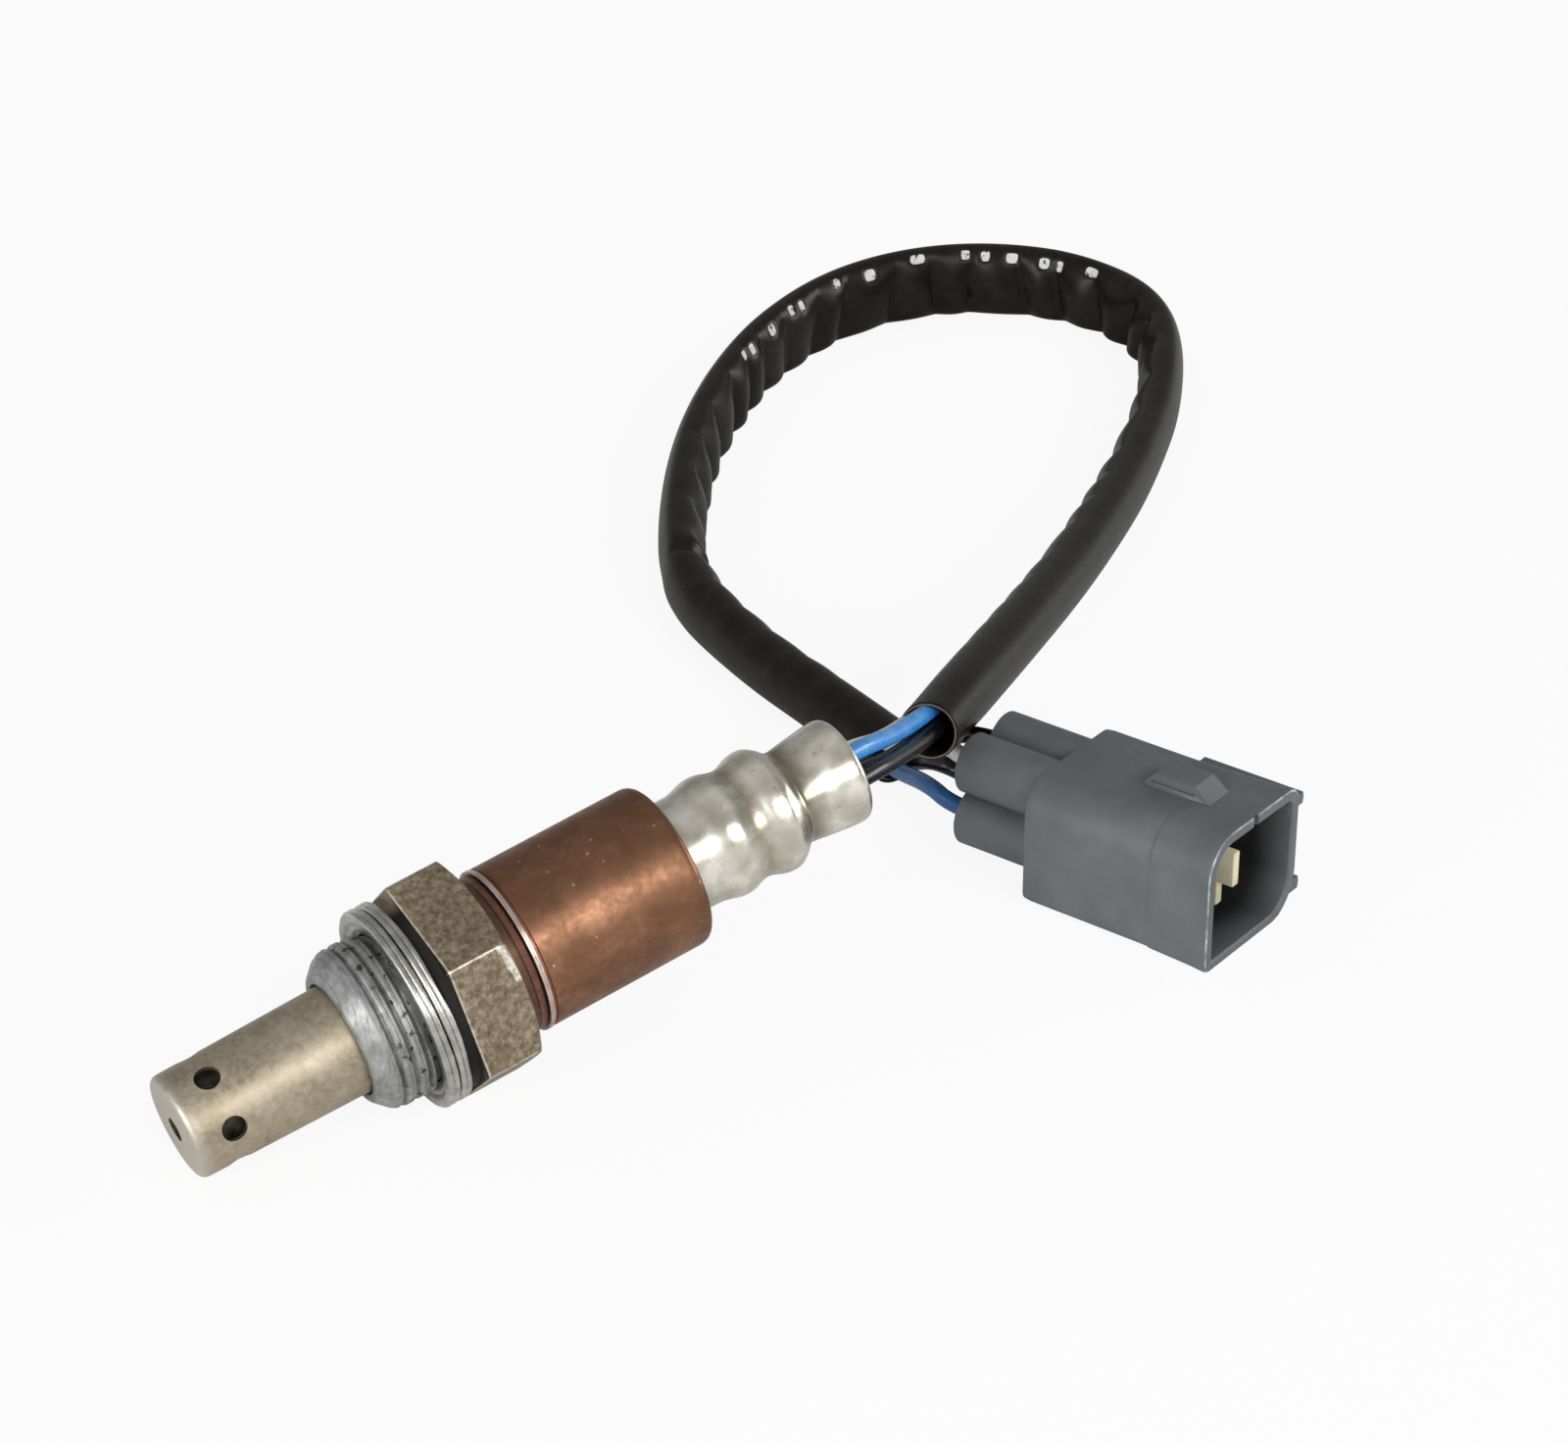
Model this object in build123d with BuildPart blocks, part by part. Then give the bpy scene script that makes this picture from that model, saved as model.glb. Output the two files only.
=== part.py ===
from build123d import *
from math import asin, atan2, cos, degrees, hypot, radians, sin, tan
import os

# Heated oxygen sensor with an M18 thread, a hexagon, a crimped tail tube and a sleeved
# four-wire pigtail that ends in a male connector. Lengths are millimetres.
# "t" is the distance behind the front face of the tip, along the sensor's own axis.

# Outer protector: the perforated cup at the tip
tip_radius = 5.7
tip_root_radius = 6.0
tip_round = 1.0
protector_wall = 0.5
tip_hole_radius = 1.3
side_hole_radius = 1.35
side_hole_t = 4.4
side_hole_count = 6
side_hole_angle = 20.0

# Inner protector
inner_radius = 4.3
inner_wall = 0.4
inner_front_t = 2.4
inner_hole_radius = 0.8
inner_hole_t = 13.0
protector_flange = 0.5

# Metal shell: thread, seat, hexagon and neck in one turned piece
nose_t = 19.0
nose_radius = 7.0
thread_radius = 9.0
thread_start_t = 21.2
thread_end_t = 25.0
relief_radius = 8.3
seat_t = 28.0
seat_radius = 10.6
hex_front_t = 29.1
hex_corner_end_t = 35.2
hex_end_t = 36.0
hex_end_radius = 11.0
hex_across_flats = 22.0
hex_angle = 48.25
neck_radius = 8.75
neck_end_t = 38.2
skirt_radius = 7.6
skirt_end_t = 43.2
shoulder_t = 24.0
throat_radius = 4.7
cavity_start_t = 27.0
cavity_radius = 5.4
crimp_lip_radius = 4.3
crimp_lip = 0.8

# Folded crush gasket
gasket_sheet = 0.38
gasket_front_t = 25.4
gasket_inner_radius = 9.25
gasket_outer_radius = 11.0
gasket_bend = 0.34

# Ceramic element, its heater and the stack that seals it into the shell
element_front_t = 5.5
element_tip_radius = 2.3
element_collar_radius = 5.3
element_collar_end_t = 31.0
element_tail_radius = 3.2
element_end_t = 46.0
element_bore = 1.5
element_end_wall = 1.7
heater_radius = 1.35
heater_end_t = 51.0
seat_washer = 0.5
talc_end_t = 36.0
bush_end_t = 41.5
fit_gap = 0.05

# Outer cover, heat tinted
cover_ring_t = 38.4
cover_ring_width = 0.55
cover_ring_radius = 9.15
cover_radius = 9.08
cover_groove = 0.2
cover_groove_width = 0.3
cover_wall = 0.6
cover_end_t = 58.4
cover_round = 1.7

# Rear insulator, its spring ring and the contacts
insulator_radius = 7.0
insulator_start_t = 44.5
insulator_end_t = 55.7
insulator_bore = 4.4
insulator_web_t = 52.0
spring_ring_start_t = 50.0
spring_ring_end_t = 54.0
contact_sheet = 0.4
contact_width = 1.6
contact_track = 3.35
contact_slot_gap = 0.12

# Crimped tail tube
tail_wall = 0.45
tail_flange_t = 56.2
tail_plain = 4.4
tail_flange_radius = 8.3
tail_radius = 6.2
tail_entry_gap = 0.12
bulge_1_t = 64.4
bulge_1_radius = 6.82
groove_1_t = 67.1
groove_1_radius = 6.28
bulge_2_t = 70.3
bulge_2_radius = 6.95
groove_2_t = 73.2
groove_2_radius = 5.35
tail_mouth_radius = 5.95
tail_end_t = 80.3
tail_lip_round = 0.9
grommet_start_t = 68.8
grommet_end_t = 78.4
grommet_radius = 4.75
hole_circle = 2.3

# Leads and their sleeve
lead_radius = 1.0
lead_bundle_radius = 1.7
lead_start_t = 66.4
lead_exit_t = 86.0
first_lead_angle = 20.0
bundle_twist = 115.0
sleeve_radius = 3.6
sleeve_wall = 0.5
crimp_barrel_radius = 1.4
crimp_barrel_length = 4.2
mouth_lead_in = 3.0
tail_lead_out = 1.0
cavity_lead_in = 2.7
lead_turns = {
    "blue": (61.8, 20.6, 3.8),
    "black_a": (66.6, 21.4, 3.8),
    "black_b": (66.7, 22.1, 9.4),
    "white": (61.9, 20.8, 8.4),
}

# Connector, in its own frame: length from the rear face, width from the near side, height
connector_place = (62.2, 0.4)
connector_heading = -68.4
housing_length = 24.5
housing_width = 17.3
housing_height = 15.1
housing_wall = 1.3
top_near_round = 4.2
top_far_round = 2.0
bottom_near_round = 1.3
bottom_far_round = 5.2
rear_corner_round = 1.6
socket_depth = 15.5
barrel_radius = 3.5
barrel_length = 10.5
pitch_width = 6.2
pitch_height = 6.6
pitch_base = 5.0
seal_bore = 2.35
seal_depth = 5.0
seal_length = 4.4
seal_proud = 0.6
pin_square = 2.0
pin_cavity = 2.2
pin_width = 2.2
pin_thickness = 0.8
pin_reach = 10.0
pin_point = 1.2
lock_length = 9.5
lock_start = 10.2
lock_width = 3.8
lock_height = 1.8
lock_centre = 9.8
rib_width = 1.9
rib_height = 1.2
rib_start = 13.2
rib_levels = (2.2, 12.9)
notch_width = 1.4
notch_depth = 0.9
witness_step = 0.12
witness_length = 16.8
retainer_plate = 3.0
retainer_gap = 0.3
blade_thickness = 1.2
blade_reach = 13.3
blade_top = 10.3
blade_waist = 6.1
blade_foot = 3.1
blade_setback = 2.0


# The tip's round edge and one front corner of the hexagon lie on the ground, so the
# sensor leans by the tangent to both
hex_corner_radius = hex_across_flats / 2 / cos(radians(30))
corner_swing = (180 - hex_angle) % 60
corner_drop = hex_corner_radius * cos(radians(min(corner_swing, 60 - corner_swing)))
rest_run = hex_front_t - tip_round
rest_rise = corner_drop - (tip_radius - tip_round)
rest_tilt = degrees(atan2(rest_rise, rest_run) - asin(tip_round / hypot(rest_run, rest_rise)))
lean_cos = cos(radians(rest_tilt))
lean_sin = sin(radians(rest_tilt))
tip_height = (tip_radius - tip_round) * lean_cos + tip_round * (1 - lean_sin)
front_reach = tip_round * lean_cos - (tip_radius - tip_round) * lean_sin - tip_round
lip_centre_radius = tail_mouth_radius - tail_lip_round
rear_reach = (tail_end_t - tail_lip_round) * lean_cos + lip_centre_radius * lean_sin + tail_lip_round
tip_x = -(front_reach + rear_reach) / 2

axis_dir = Vector(lean_cos, 0, lean_sin)
up_dir = Vector(-lean_sin, 0, lean_cos)
side_dir = Vector(0, -1, 0)
tip_point = Vector(tip_x, 0, tip_height)
sensor_axis = Axis(tip_point, axis_dir)


def across(t):
    """Plane square to the sensor's axis, with its x up and its y to the near side."""
    return Plane(origin=tip_point + axis_dir * t, x_dir=up_dir, z_dir=axis_dir)


def along(angle=0.0):
    """Plane through the axis: x runs back from the tip, y out at this angle from up."""
    out = up_dir * cos(radians(angle)) + side_dir * sin(radians(angle))
    return Plane(origin=tip_point, x_dir=axis_dir, z_dir=axis_dir.cross(out))


def turned(*outline):
    """Revolve a closed outline of (t, radius) points about the axis, in the open part."""
    with BuildSketch(along()) as profile:
        with BuildLine():
            Polyline(*outline, close=True)
        make_face()
    return revolve(profile.sketch, axis=sensor_axis)


def bored(*outline):
    """Cut the turned shape of a closed (t, radius) outline out of the open part."""
    with BuildSketch(along()) as profile:
        with BuildLine():
            Polyline(*outline, close=True)
        make_face()
    return revolve(profile.sketch, axis=sensor_axis, mode=Mode.SUBTRACT)


finished = []


def finish(piece, name):
    """Label a piece and put it on the list to be written."""
    piece.part.label = name
    finished.append((piece.part, name))


# Outer protector
protector_end_t = shoulder_t - protector_flange - fit_gap
with BuildPart() as outer_protector:
    with BuildSketch(along()):
        with BuildLine():
            Polyline((0, 0), (0, tip_radius), (nose_t, tip_root_radius), (protector_end_t, tip_root_radius),
                     (protector_end_t, 0), close=True)
        make_face()
    revolve(axis=sensor_axis)
    fillet(outer_protector.edges().filter_by(GeomType.CIRCLE).sort_by(sensor_axis)[0], radius=tip_round)
    bored((protector_wall, 0), (protector_wall, tip_radius - protector_wall - tip_round / 2),
          (protector_wall + tip_round / 2, tip_radius - protector_wall),
          (nose_t, tip_root_radius - protector_wall),
          (protector_end_t, tip_root_radius - protector_wall), (protector_end_t, 0))
    with BuildSketch(across(0)):
        Circle(tip_hole_radius)
    extrude(amount=2 * protector_wall, mode=Mode.SUBTRACT)
    for index in range(side_hole_count):
        hole_angle = side_hole_angle + index * 360 / side_hole_count
        out = up_dir * cos(radians(hole_angle)) + side_dir * sin(radians(hole_angle))
        with BuildSketch(Plane(origin=tip_point + axis_dir * side_hole_t, x_dir=axis_dir, z_dir=out)):
            Circle(side_hole_radius)
        extrude(amount=2 * tip_radius, mode=Mode.SUBTRACT)
finish(outer_protector, "outer_protector")

# Inner protector: a second cup, held by its flange behind the outer one
with BuildPart() as inner_protector:
    turned((inner_front_t, 0), (inner_front_t, inner_radius - inner_wall),
           (inner_front_t + inner_wall, inner_radius), (protector_end_t + fit_gap, inner_radius),
           (protector_end_t + fit_gap, tip_root_radius), (shoulder_t - fit_gap / 2, tip_root_radius),
           (shoulder_t - fit_gap / 2, inner_radius - inner_wall),
           (inner_front_t + inner_wall, inner_radius - inner_wall), (inner_front_t + inner_wall, 0))
    with BuildSketch(across(inner_front_t - inner_wall)):
        Circle(inner_hole_radius)
    extrude(amount=3 * inner_wall, mode=Mode.SUBTRACT)
    for index in range(side_hole_count):
        hole_angle = side_hole_angle + (index + 0.5) * 360 / side_hole_count
        out = up_dir * cos(radians(hole_angle)) + side_dir * sin(radians(hole_angle))
        with BuildSketch(Plane(origin=tip_point + axis_dir * inner_hole_t, x_dir=axis_dir, z_dir=out)):
            Circle(inner_hole_radius)
        extrude(amount=2 * inner_radius, mode=Mode.SUBTRACT)
finish(inner_protector, "inner_protector")

# Metal shell
with BuildPart() as metal_shell:
    with BuildSketch(across(hex_front_t)):
        RegularPolygon(radius=hex_corner_radius, side_count=6, rotation=hex_angle)
    extrude(amount=hex_end_t - hex_front_t)
    with BuildSketch(along()):
        with BuildLine():
            Polyline((hex_front_t, 0), (hex_front_t, hex_corner_radius),
                     (hex_corner_end_t, hex_corner_radius), (hex_end_t, hex_end_radius), (hex_end_t, 0),
                     close=True)
        make_face()
    revolve(axis=sensor_axis, mode=Mode.INTERSECT)
    turned((seat_t, 0), (seat_t, seat_radius), (hex_front_t, seat_radius), (hex_front_t, 0))
    turned((nose_t, 0), (nose_t, nose_radius), (thread_start_t, thread_radius),
           (thread_end_t, thread_radius), (thread_end_t + thread_radius - relief_radius, relief_radius),
           (seat_t, relief_radius), (seat_t, 0))
    turned((hex_end_t, 0), (hex_end_t, neck_radius), (neck_end_t, neck_radius),
           (neck_end_t, cover_radius - cover_wall - fit_gap),
           (neck_end_t + cover_ring_width + 2, cover_radius - cover_wall - fit_gap),
           (neck_end_t + cover_ring_width + 2, skirt_radius), (skirt_end_t, skirt_radius), (skirt_end_t, 0))
    nose_edges = metal_shell.edges().filter_by(GeomType.CIRCLE).filter_by(
        lambda edge: abs(edge.radius - thread_radius) < 0.01)
    fillet(nose_edges.sort_by(sensor_axis)[0], radius=1.2)
    bored((nose_t, 0), (nose_t, tip_root_radius + fit_gap), (shoulder_t, tip_root_radius + fit_gap),
          (shoulder_t, throat_radius), (cavity_start_t, throat_radius), (cavity_start_t, cavity_radius),
          (skirt_end_t - crimp_lip, cavity_radius), (skirt_end_t - crimp_lip, crimp_lip_radius),
          (skirt_end_t, crimp_lip_radius), (skirt_end_t, 0))
finish(metal_shell, "metal_shell")

# Crush gasket: one sheet folded three times, caught behind the thread
fold_pitch = (seat_t - fit_gap / 2 - gasket_sheet / 2 - gasket_front_t) / 3
with BuildPart() as crush_gasket:
    with BuildSketch(along()):
        with BuildLine():
            FilletPolyline((gasket_front_t, gasket_inner_radius), (gasket_front_t, gasket_outer_radius),
                           (gasket_front_t + fold_pitch, gasket_outer_radius),
                           (gasket_front_t + fold_pitch, gasket_inner_radius),
                           (gasket_front_t + 2 * fold_pitch, gasket_inner_radius),
                           (gasket_front_t + 2 * fold_pitch, gasket_outer_radius),
                           (gasket_front_t + 3 * fold_pitch, gasket_outer_radius),
                           (gasket_front_t + 3 * fold_pitch, gasket_inner_radius), radius=gasket_bend)
        trace(line_width=gasket_sheet)
    revolve(axis=sensor_axis)
finish(crush_gasket, "crush_gasket")

# Sealing stack inside the shell, front to back
collar_start_t = cavity_start_t + seat_washer + fit_gap
with BuildPart() as seat_ring:
    turned((cavity_start_t + fit_gap / 2, throat_radius), (cavity_start_t + fit_gap / 2, element_collar_radius),
           (collar_start_t - fit_gap / 2, element_collar_radius), (collar_start_t - fit_gap / 2, throat_radius))
finish(seat_ring, "seat_ring")

with BuildPart() as sensing_element:
    turned((element_front_t, 0), (element_front_t + 0.4, element_tip_radius * 0.6),
           (element_front_t + element_tip_radius, element_tip_radius), (collar_start_t - 2, element_tip_radius),
           (collar_start_t, element_tail_radius), (collar_start_t, element_collar_radius),
           (element_collar_end_t, element_collar_radius), (element_collar_end_t, element_tail_radius),
           (element_end_t, element_tail_radius), (element_end_t, element_bore),
           (element_front_t + element_end_wall, element_bore), (element_front_t + element_end_wall, 0))
finish(sensing_element, "sensing_element")

with BuildPart() as heater_rod:
    turned((element_front_t + element_end_wall + fit_gap, 0),
           (element_front_t + element_end_wall + fit_gap, heater_radius),
           (heater_end_t, heater_radius), (heater_end_t, 0))
finish(heater_rod, "heater_rod")

stack_bore = element_tail_radius + fit_gap
stack_radius = cavity_radius - fit_gap
with BuildPart() as talc_seal:
    turned((element_collar_end_t + fit_gap, stack_bore), (element_collar_end_t + fit_gap, stack_radius),
           (talc_end_t, stack_radius), (talc_end_t, stack_bore))
finish(talc_seal, "talc_seal")

with BuildPart() as insulating_bush:
    turned((talc_end_t + fit_gap, stack_bore), (talc_end_t + fit_gap, stack_radius),
           (bush_end_t, stack_radius), (bush_end_t, stack_bore))
    chamfer(insulating_bush.edges().filter_by(GeomType.CIRCLE).sort_by(sensor_axis)[-1], length=0.3)
finish(insulating_bush, "insulating_bush")

with BuildPart() as crimp_ring:
    turned((bush_end_t + fit_gap, crimp_lip_radius), (bush_end_t + fit_gap, stack_radius),
           (skirt_end_t - crimp_lip - fit_gap, stack_radius),
           (skirt_end_t - crimp_lip - fit_gap, crimp_lip_radius))
finish(crimp_ring, "crimp_ring")

# Outer cover: ring bead, groove, plain barrel and a turned-in rear edge
cover_bore = cover_radius - cover_wall
cover_exit = tail_radius + tail_entry_gap
bead_end_t = cover_ring_t + cover_ring_width
with BuildPart() as outer_cover:
    turned((cover_ring_t, cover_bore), (cover_ring_t, cover_ring_radius), (bead_end_t, cover_ring_radius),
           (bead_end_t, cover_radius - cover_groove), (bead_end_t + cover_groove_width, cover_radius - cover_groove),
           (bead_end_t + cover_groove_width, cover_radius), (cover_end_t, cover_radius), (cover_end_t, cover_exit),
           (cover_end_t - cover_wall, cover_exit), (cover_end_t - cover_wall, cover_bore - cover_round / 2),
           (cover_end_t - cover_wall - cover_round / 2, cover_bore))
    rear_edge = outer_cover.edges().filter_by(GeomType.CIRCLE).filter_by(
        lambda edge: abs(edge.radius - cover_radius) < 0.01).sort_by(sensor_axis)[-1]
    fillet(rear_edge, radius=cover_round)
    bead_edges = outer_cover.edges().filter_by(GeomType.CIRCLE).filter_by(
        lambda edge: abs(edge.radius - cover_ring_radius) < 0.01)
    fillet(bead_edges, radius=cover_ring_width * 0.4)
finish(outer_cover, "outer_cover")


# Contacts: a strip along the rear insulator, stepped in to its crimp barrel
lead_names = ("blue", "black_a", "black_b", "white")
lead_angles = [first_lead_angle + 90 * index for index in range(4)]
barrel_front_t = lead_start_t - crimp_barrel_length / 2
contact_out = contact_track + contact_sheet
barrel_out = hole_circle + contact_sheet


def contact_outline(kind):
    """Side view of a contact strip, (t, radius), for the element or for the heater."""
    rear = [(insulator_end_t + 0.6, contact_track), (barrel_front_t, hole_circle - contact_sheet),
            (barrel_front_t + 0.5, hole_circle - contact_sheet), (barrel_front_t + 0.5, barrel_out - contact_sheet),
            (insulator_end_t + 0.8, contact_out)]
    if kind == "heater":
        pad = heater_radius + fit_gap
        front = [(heater_end_t + 0.2, contact_out), (heater_end_t - 1.2, pad + contact_sheet),
                 (heater_end_t - 3.5, pad + contact_sheet), (heater_end_t - 3.5, pad),
                 (heater_end_t - 1.0, pad), (heater_end_t + 0.4, contact_track)]
    else:
        front = [(element_end_t - 1.6, contact_out), (element_end_t - 1.6, element_tail_radius + fit_gap),
                 (element_end_t - 0.4, element_tail_radius + fit_gap), (element_end_t + 0.2, contact_track)]
    return rear + front


contact_names = ("contact_signal_a", "contact_heater_a", "contact_heater_b", "contact_signal_b")
for contact_name, angle in zip(contact_names, lead_angles):
    kind = "heater" if "heater" in contact_name else "signal"
    with BuildPart() as contact:
        with BuildSketch(along(angle)):
            with BuildLine():
                Polyline(*contact_outline(kind), close=True)
            make_face()
        extrude(amount=contact_width / 2, both=True)
        with BuildSketch(across(barrel_front_t)):
            with PolarLocations(hole_circle, 1, start_angle=angle):
                Circle(crimp_barrel_radius)
        extrude(amount=crimp_barrel_length)
        with BuildSketch(across(lead_start_t - fit_gap)):
            with PolarLocations(hole_circle, 1, start_angle=angle):
                Circle(lead_radius + fit_gap)
        extrude(amount=crimp_barrel_length, mode=Mode.SUBTRACT)
    finish(contact, contact_name)

# Rear insulator with a slot for each contact
with BuildPart() as rear_insulator:
    turned((insulator_start_t, insulator_bore), (insulator_start_t, insulator_radius - 0.6),
           (insulator_start_t + 0.6, insulator_radius), (insulator_end_t - 0.6, insulator_radius),
           (insulator_end_t, insulator_radius - 0.6), (insulator_end_t, 0), (insulator_web_t, 0),
           (insulator_web_t, insulator_bore))
    with BuildSketch(across(insulator_web_t)):
        with PolarLocations(contact_track + contact_sheet / 2, 4, start_angle=first_lead_angle):
            Rectangle(contact_sheet + 2 * contact_slot_gap, contact_width + 2 * contact_slot_gap)
    extrude(amount=insulator_end_t - insulator_web_t, mode=Mode.SUBTRACT)
finish(rear_insulator, "rear_insulator")

# Spring ring that centres the insulator in the cover
with BuildPart() as spring_ring:
    turned((spring_ring_start_t, insulator_radius + fit_gap), (spring_ring_start_t, insulator_radius + 0.5),
           (spring_ring_start_t + 1.2, cover_bore - fit_gap), (spring_ring_end_t - 1.2, cover_bore - fit_gap),
           (spring_ring_end_t, insulator_radius + 0.5), (spring_ring_end_t, insulator_radius + fit_gap),
           (spring_ring_end_t - 1.4, cover_bore - 0.5), (spring_ring_start_t + 1.4, cover_bore - 0.5))
finish(spring_ring, "spring_ring")


def tail_profile(inset):
    """The crimped line of the tail tube, moved in by this much, up to the lip."""
    return [(tail_flange_t + tail_plain, tail_radius - inset), (bulge_1_t, bulge_1_radius - inset),
            (groove_1_t, groove_1_radius - inset), (bulge_2_t, bulge_2_radius - inset),
            (groove_2_t, groove_2_radius - inset), (tail_end_t - 2.6, tail_mouth_radius - inset - 0.12)]


# Tail tube: flange inside the cover, two bulges between crimps, flared rolled mouth
neck_in_t = tail_flange_t + tail_wall
with BuildPart() as tail_tube:
    with BuildSketch(along()):
        with BuildLine():
            outer = Spline(*tail_profile(0), tangents=[(1, 0.05), (1, 0.12)])
            Line(outer @ 1, (tail_end_t - tail_lip_round, tail_mouth_radius))
            lip = RadiusArc((tail_end_t - tail_lip_round, tail_mouth_radius),
                            (tail_end_t, tail_mouth_radius - tail_lip_round), tail_lip_round)
            Polyline(lip @ 1, (tail_end_t - tail_wall, tail_mouth_radius - tail_lip_round),
                     (tail_end_t - tail_wall - tail_lip_round / 2, tail_mouth_radius - tail_wall))
            inner = Spline(*tail_profile(tail_wall), tangents=[(1, 0.05), (1, 0.12)])
            Line(inner @ 1, (tail_end_t - tail_wall - tail_lip_round / 2, tail_mouth_radius - tail_wall))
            Polyline(inner @ 0, (neck_in_t, tail_radius - tail_wall), (neck_in_t - 0.45, tail_radius - tail_wall),
                     (neck_in_t - 0.45, tail_flange_radius), (neck_in_t, tail_flange_radius),
                     (neck_in_t, tail_radius), outer @ 0)
        make_face()
    revolve(axis=sensor_axis)
finish(tail_tube, "tail_tube")

# Grommet: rubber plug squeezed by the crimps, with a hole for each lead
seal_gap = tail_wall + fit_gap
with BuildPart() as grommet:
    with BuildSketch(along()):
        with BuildLine():
            squeezed = Spline(*tail_profile(seal_gap), tangents=[(1, 0.05), (1, 0.12)])
            Polyline(squeezed @ 1, (grommet_end_t, grommet_radius), (grommet_end_t, 0),
                     (tail_flange_t + tail_plain, 0), squeezed @ 0)
        make_face()
    revolve(axis=sensor_axis)
    bored((tail_flange_t, 0), (tail_flange_t, tail_radius + 2), (grommet_start_t, tail_radius + 2),
          (grommet_start_t, 0))
    with BuildSketch(across(grommet_start_t)):
        with PolarLocations(hole_circle, 4, start_angle=first_lead_angle):
            Circle(lead_radius + fit_gap)
    extrude(amount=grommet_end_t - grommet_start_t, mode=Mode.SUBTRACT)
finish(grommet, "grommet")

# Connector planes
heading = radians(connector_heading)
length_dir = Vector(cos(heading), sin(heading), 0)
width_dir = Vector(-sin(heading), cos(heading), 0)
connector_origin = Vector(connector_place[0], connector_place[1], 0)


def station(length):
    """Plane square to the connector's length: x across its width, y up."""
    return Plane(origin=connector_origin + length_dir * length, x_dir=width_dir, z_dir=length_dir)


def level(height):
    """Plane level with the ground: x along the connector, y across its width."""
    return Plane(origin=connector_origin + Vector(0, 0, height), x_dir=length_dir, z_dir=Vector(0, 0, 1))


def side_view(width):
    """Upright plane at this width: x along the connector, y up, facing the near side."""
    return Plane(origin=connector_origin + width_dir * width, x_dir=length_dir, z_dir=-width_dir)


cavity_centre = (housing_width / 2, pitch_base + pitch_height / 2)


def housing_outline(inset):
    """Rounded housing section, drawn in the open sketch, moved in by this much."""
    with BuildLine() as section:
        left, right = inset, housing_width - inset
        low, high = inset, housing_height - inset
        far_low = bottom_far_round - inset
        far_high = top_far_round - inset * 0.8
        near_high = top_near_round - inset
        near_low = max(bottom_near_round - inset, 0.5)
        Line((left + near_low, low), (right - far_low, low))
        RadiusArc((right - far_low, low), (right, low + far_low), -far_low)
        Line((right, low + far_low), (right, high - far_high))
        RadiusArc((right, high - far_high), (right - far_high, high), -far_high)
        Line((right - far_high, high), (left + near_high, high))
        RadiusArc((left + near_high, high), (left, high - near_high), -near_high)
        Line((left, high - near_high), (left, low + near_low))
        RadiusArc((left, low + near_low), (left + near_low, low), -near_low)
    make_face(section.edges())


# Connector housing: four joined barrels behind a shrouded socket
socket_floor = housing_length - socket_depth
with BuildPart() as connector_housing:
    with BuildSketch(station(0)):
        housing_outline(0)
    extrude(amount=housing_length)
    rear_edges = connector_housing.faces().sort_by(Axis(connector_origin, length_dir))[0].edges()
    fillet(rear_edges.sort_by(Axis.Z)[:2], radius=0.5)
    with BuildSketch(station(-barrel_length)):
        with Locations(cavity_centre):
            with GridLocations(pitch_width, pitch_height, 2, 2):
                Circle(barrel_radius)
    extrude(amount=barrel_length + 0.5)
    with BuildSketch(station(-barrel_length + 0.8)):
        with Locations(cavity_centre):
            Rectangle(pitch_width, pitch_height)
    extrude(amount=barrel_length)
    with BuildSketch(station(socket_floor)):
        housing_outline(housing_wall)
    extrude(amount=socket_depth, mode=Mode.SUBTRACT)
    with BuildSketch(station(-barrel_length)):
        with Locations(cavity_centre):
            with GridLocations(pitch_width, pitch_height, 2, 2):
                Circle(seal_bore)
    extrude(amount=seal_depth, mode=Mode.SUBTRACT)
    with BuildSketch(station(-barrel_length)):
        with Locations(cavity_centre):
            with GridLocations(pitch_width, pitch_height, 2, 2):
                Rectangle(pin_cavity + 0.9, pin_cavity + 0.9)
    extrude(amount=barrel_length, mode=Mode.SUBTRACT)
    with BuildSketch(station(-barrel_length)):
        with Locations(cavity_centre):
            with GridLocations(pitch_width, pitch_height, 2, 2):
                Rectangle(pin_cavity, pin_cavity)
    extrude(amount=barrel_length + socket_floor, mode=Mode.SUBTRACT)
    lock_lines = [(lock_start, housing_height - 0.3), (lock_start + 1.7, housing_height + lock_height),
                  (lock_start + lock_length * 0.72, housing_height + lock_height),
                  (lock_start + lock_length, housing_height - 0.3)]
    with BuildSketch(side_view(lock_centre)):
        with BuildLine():
            Polyline(*lock_lines, close=True)
        make_face()
    extrude(amount=lock_width / 2, both=True)
    for rib_level in rib_levels:
        with BuildSketch(station(rib_start)):
            with Locations((housing_width + rib_width / 2 - 0.6, rib_level)):
                Rectangle(rib_width + 1.2, rib_height)
        extrude(amount=housing_length - rib_start - 0.6)
    with BuildSketch(side_view(cavity_centre[0])):
        with Locations((housing_length, housing_height)):
            Rectangle(2 * notch_depth, 2 * housing_wall + 0.4)
    extrude(amount=notch_width / 2, both=True, mode=Mode.SUBTRACT)
finish(connector_housing, "connector_housing")

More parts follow.
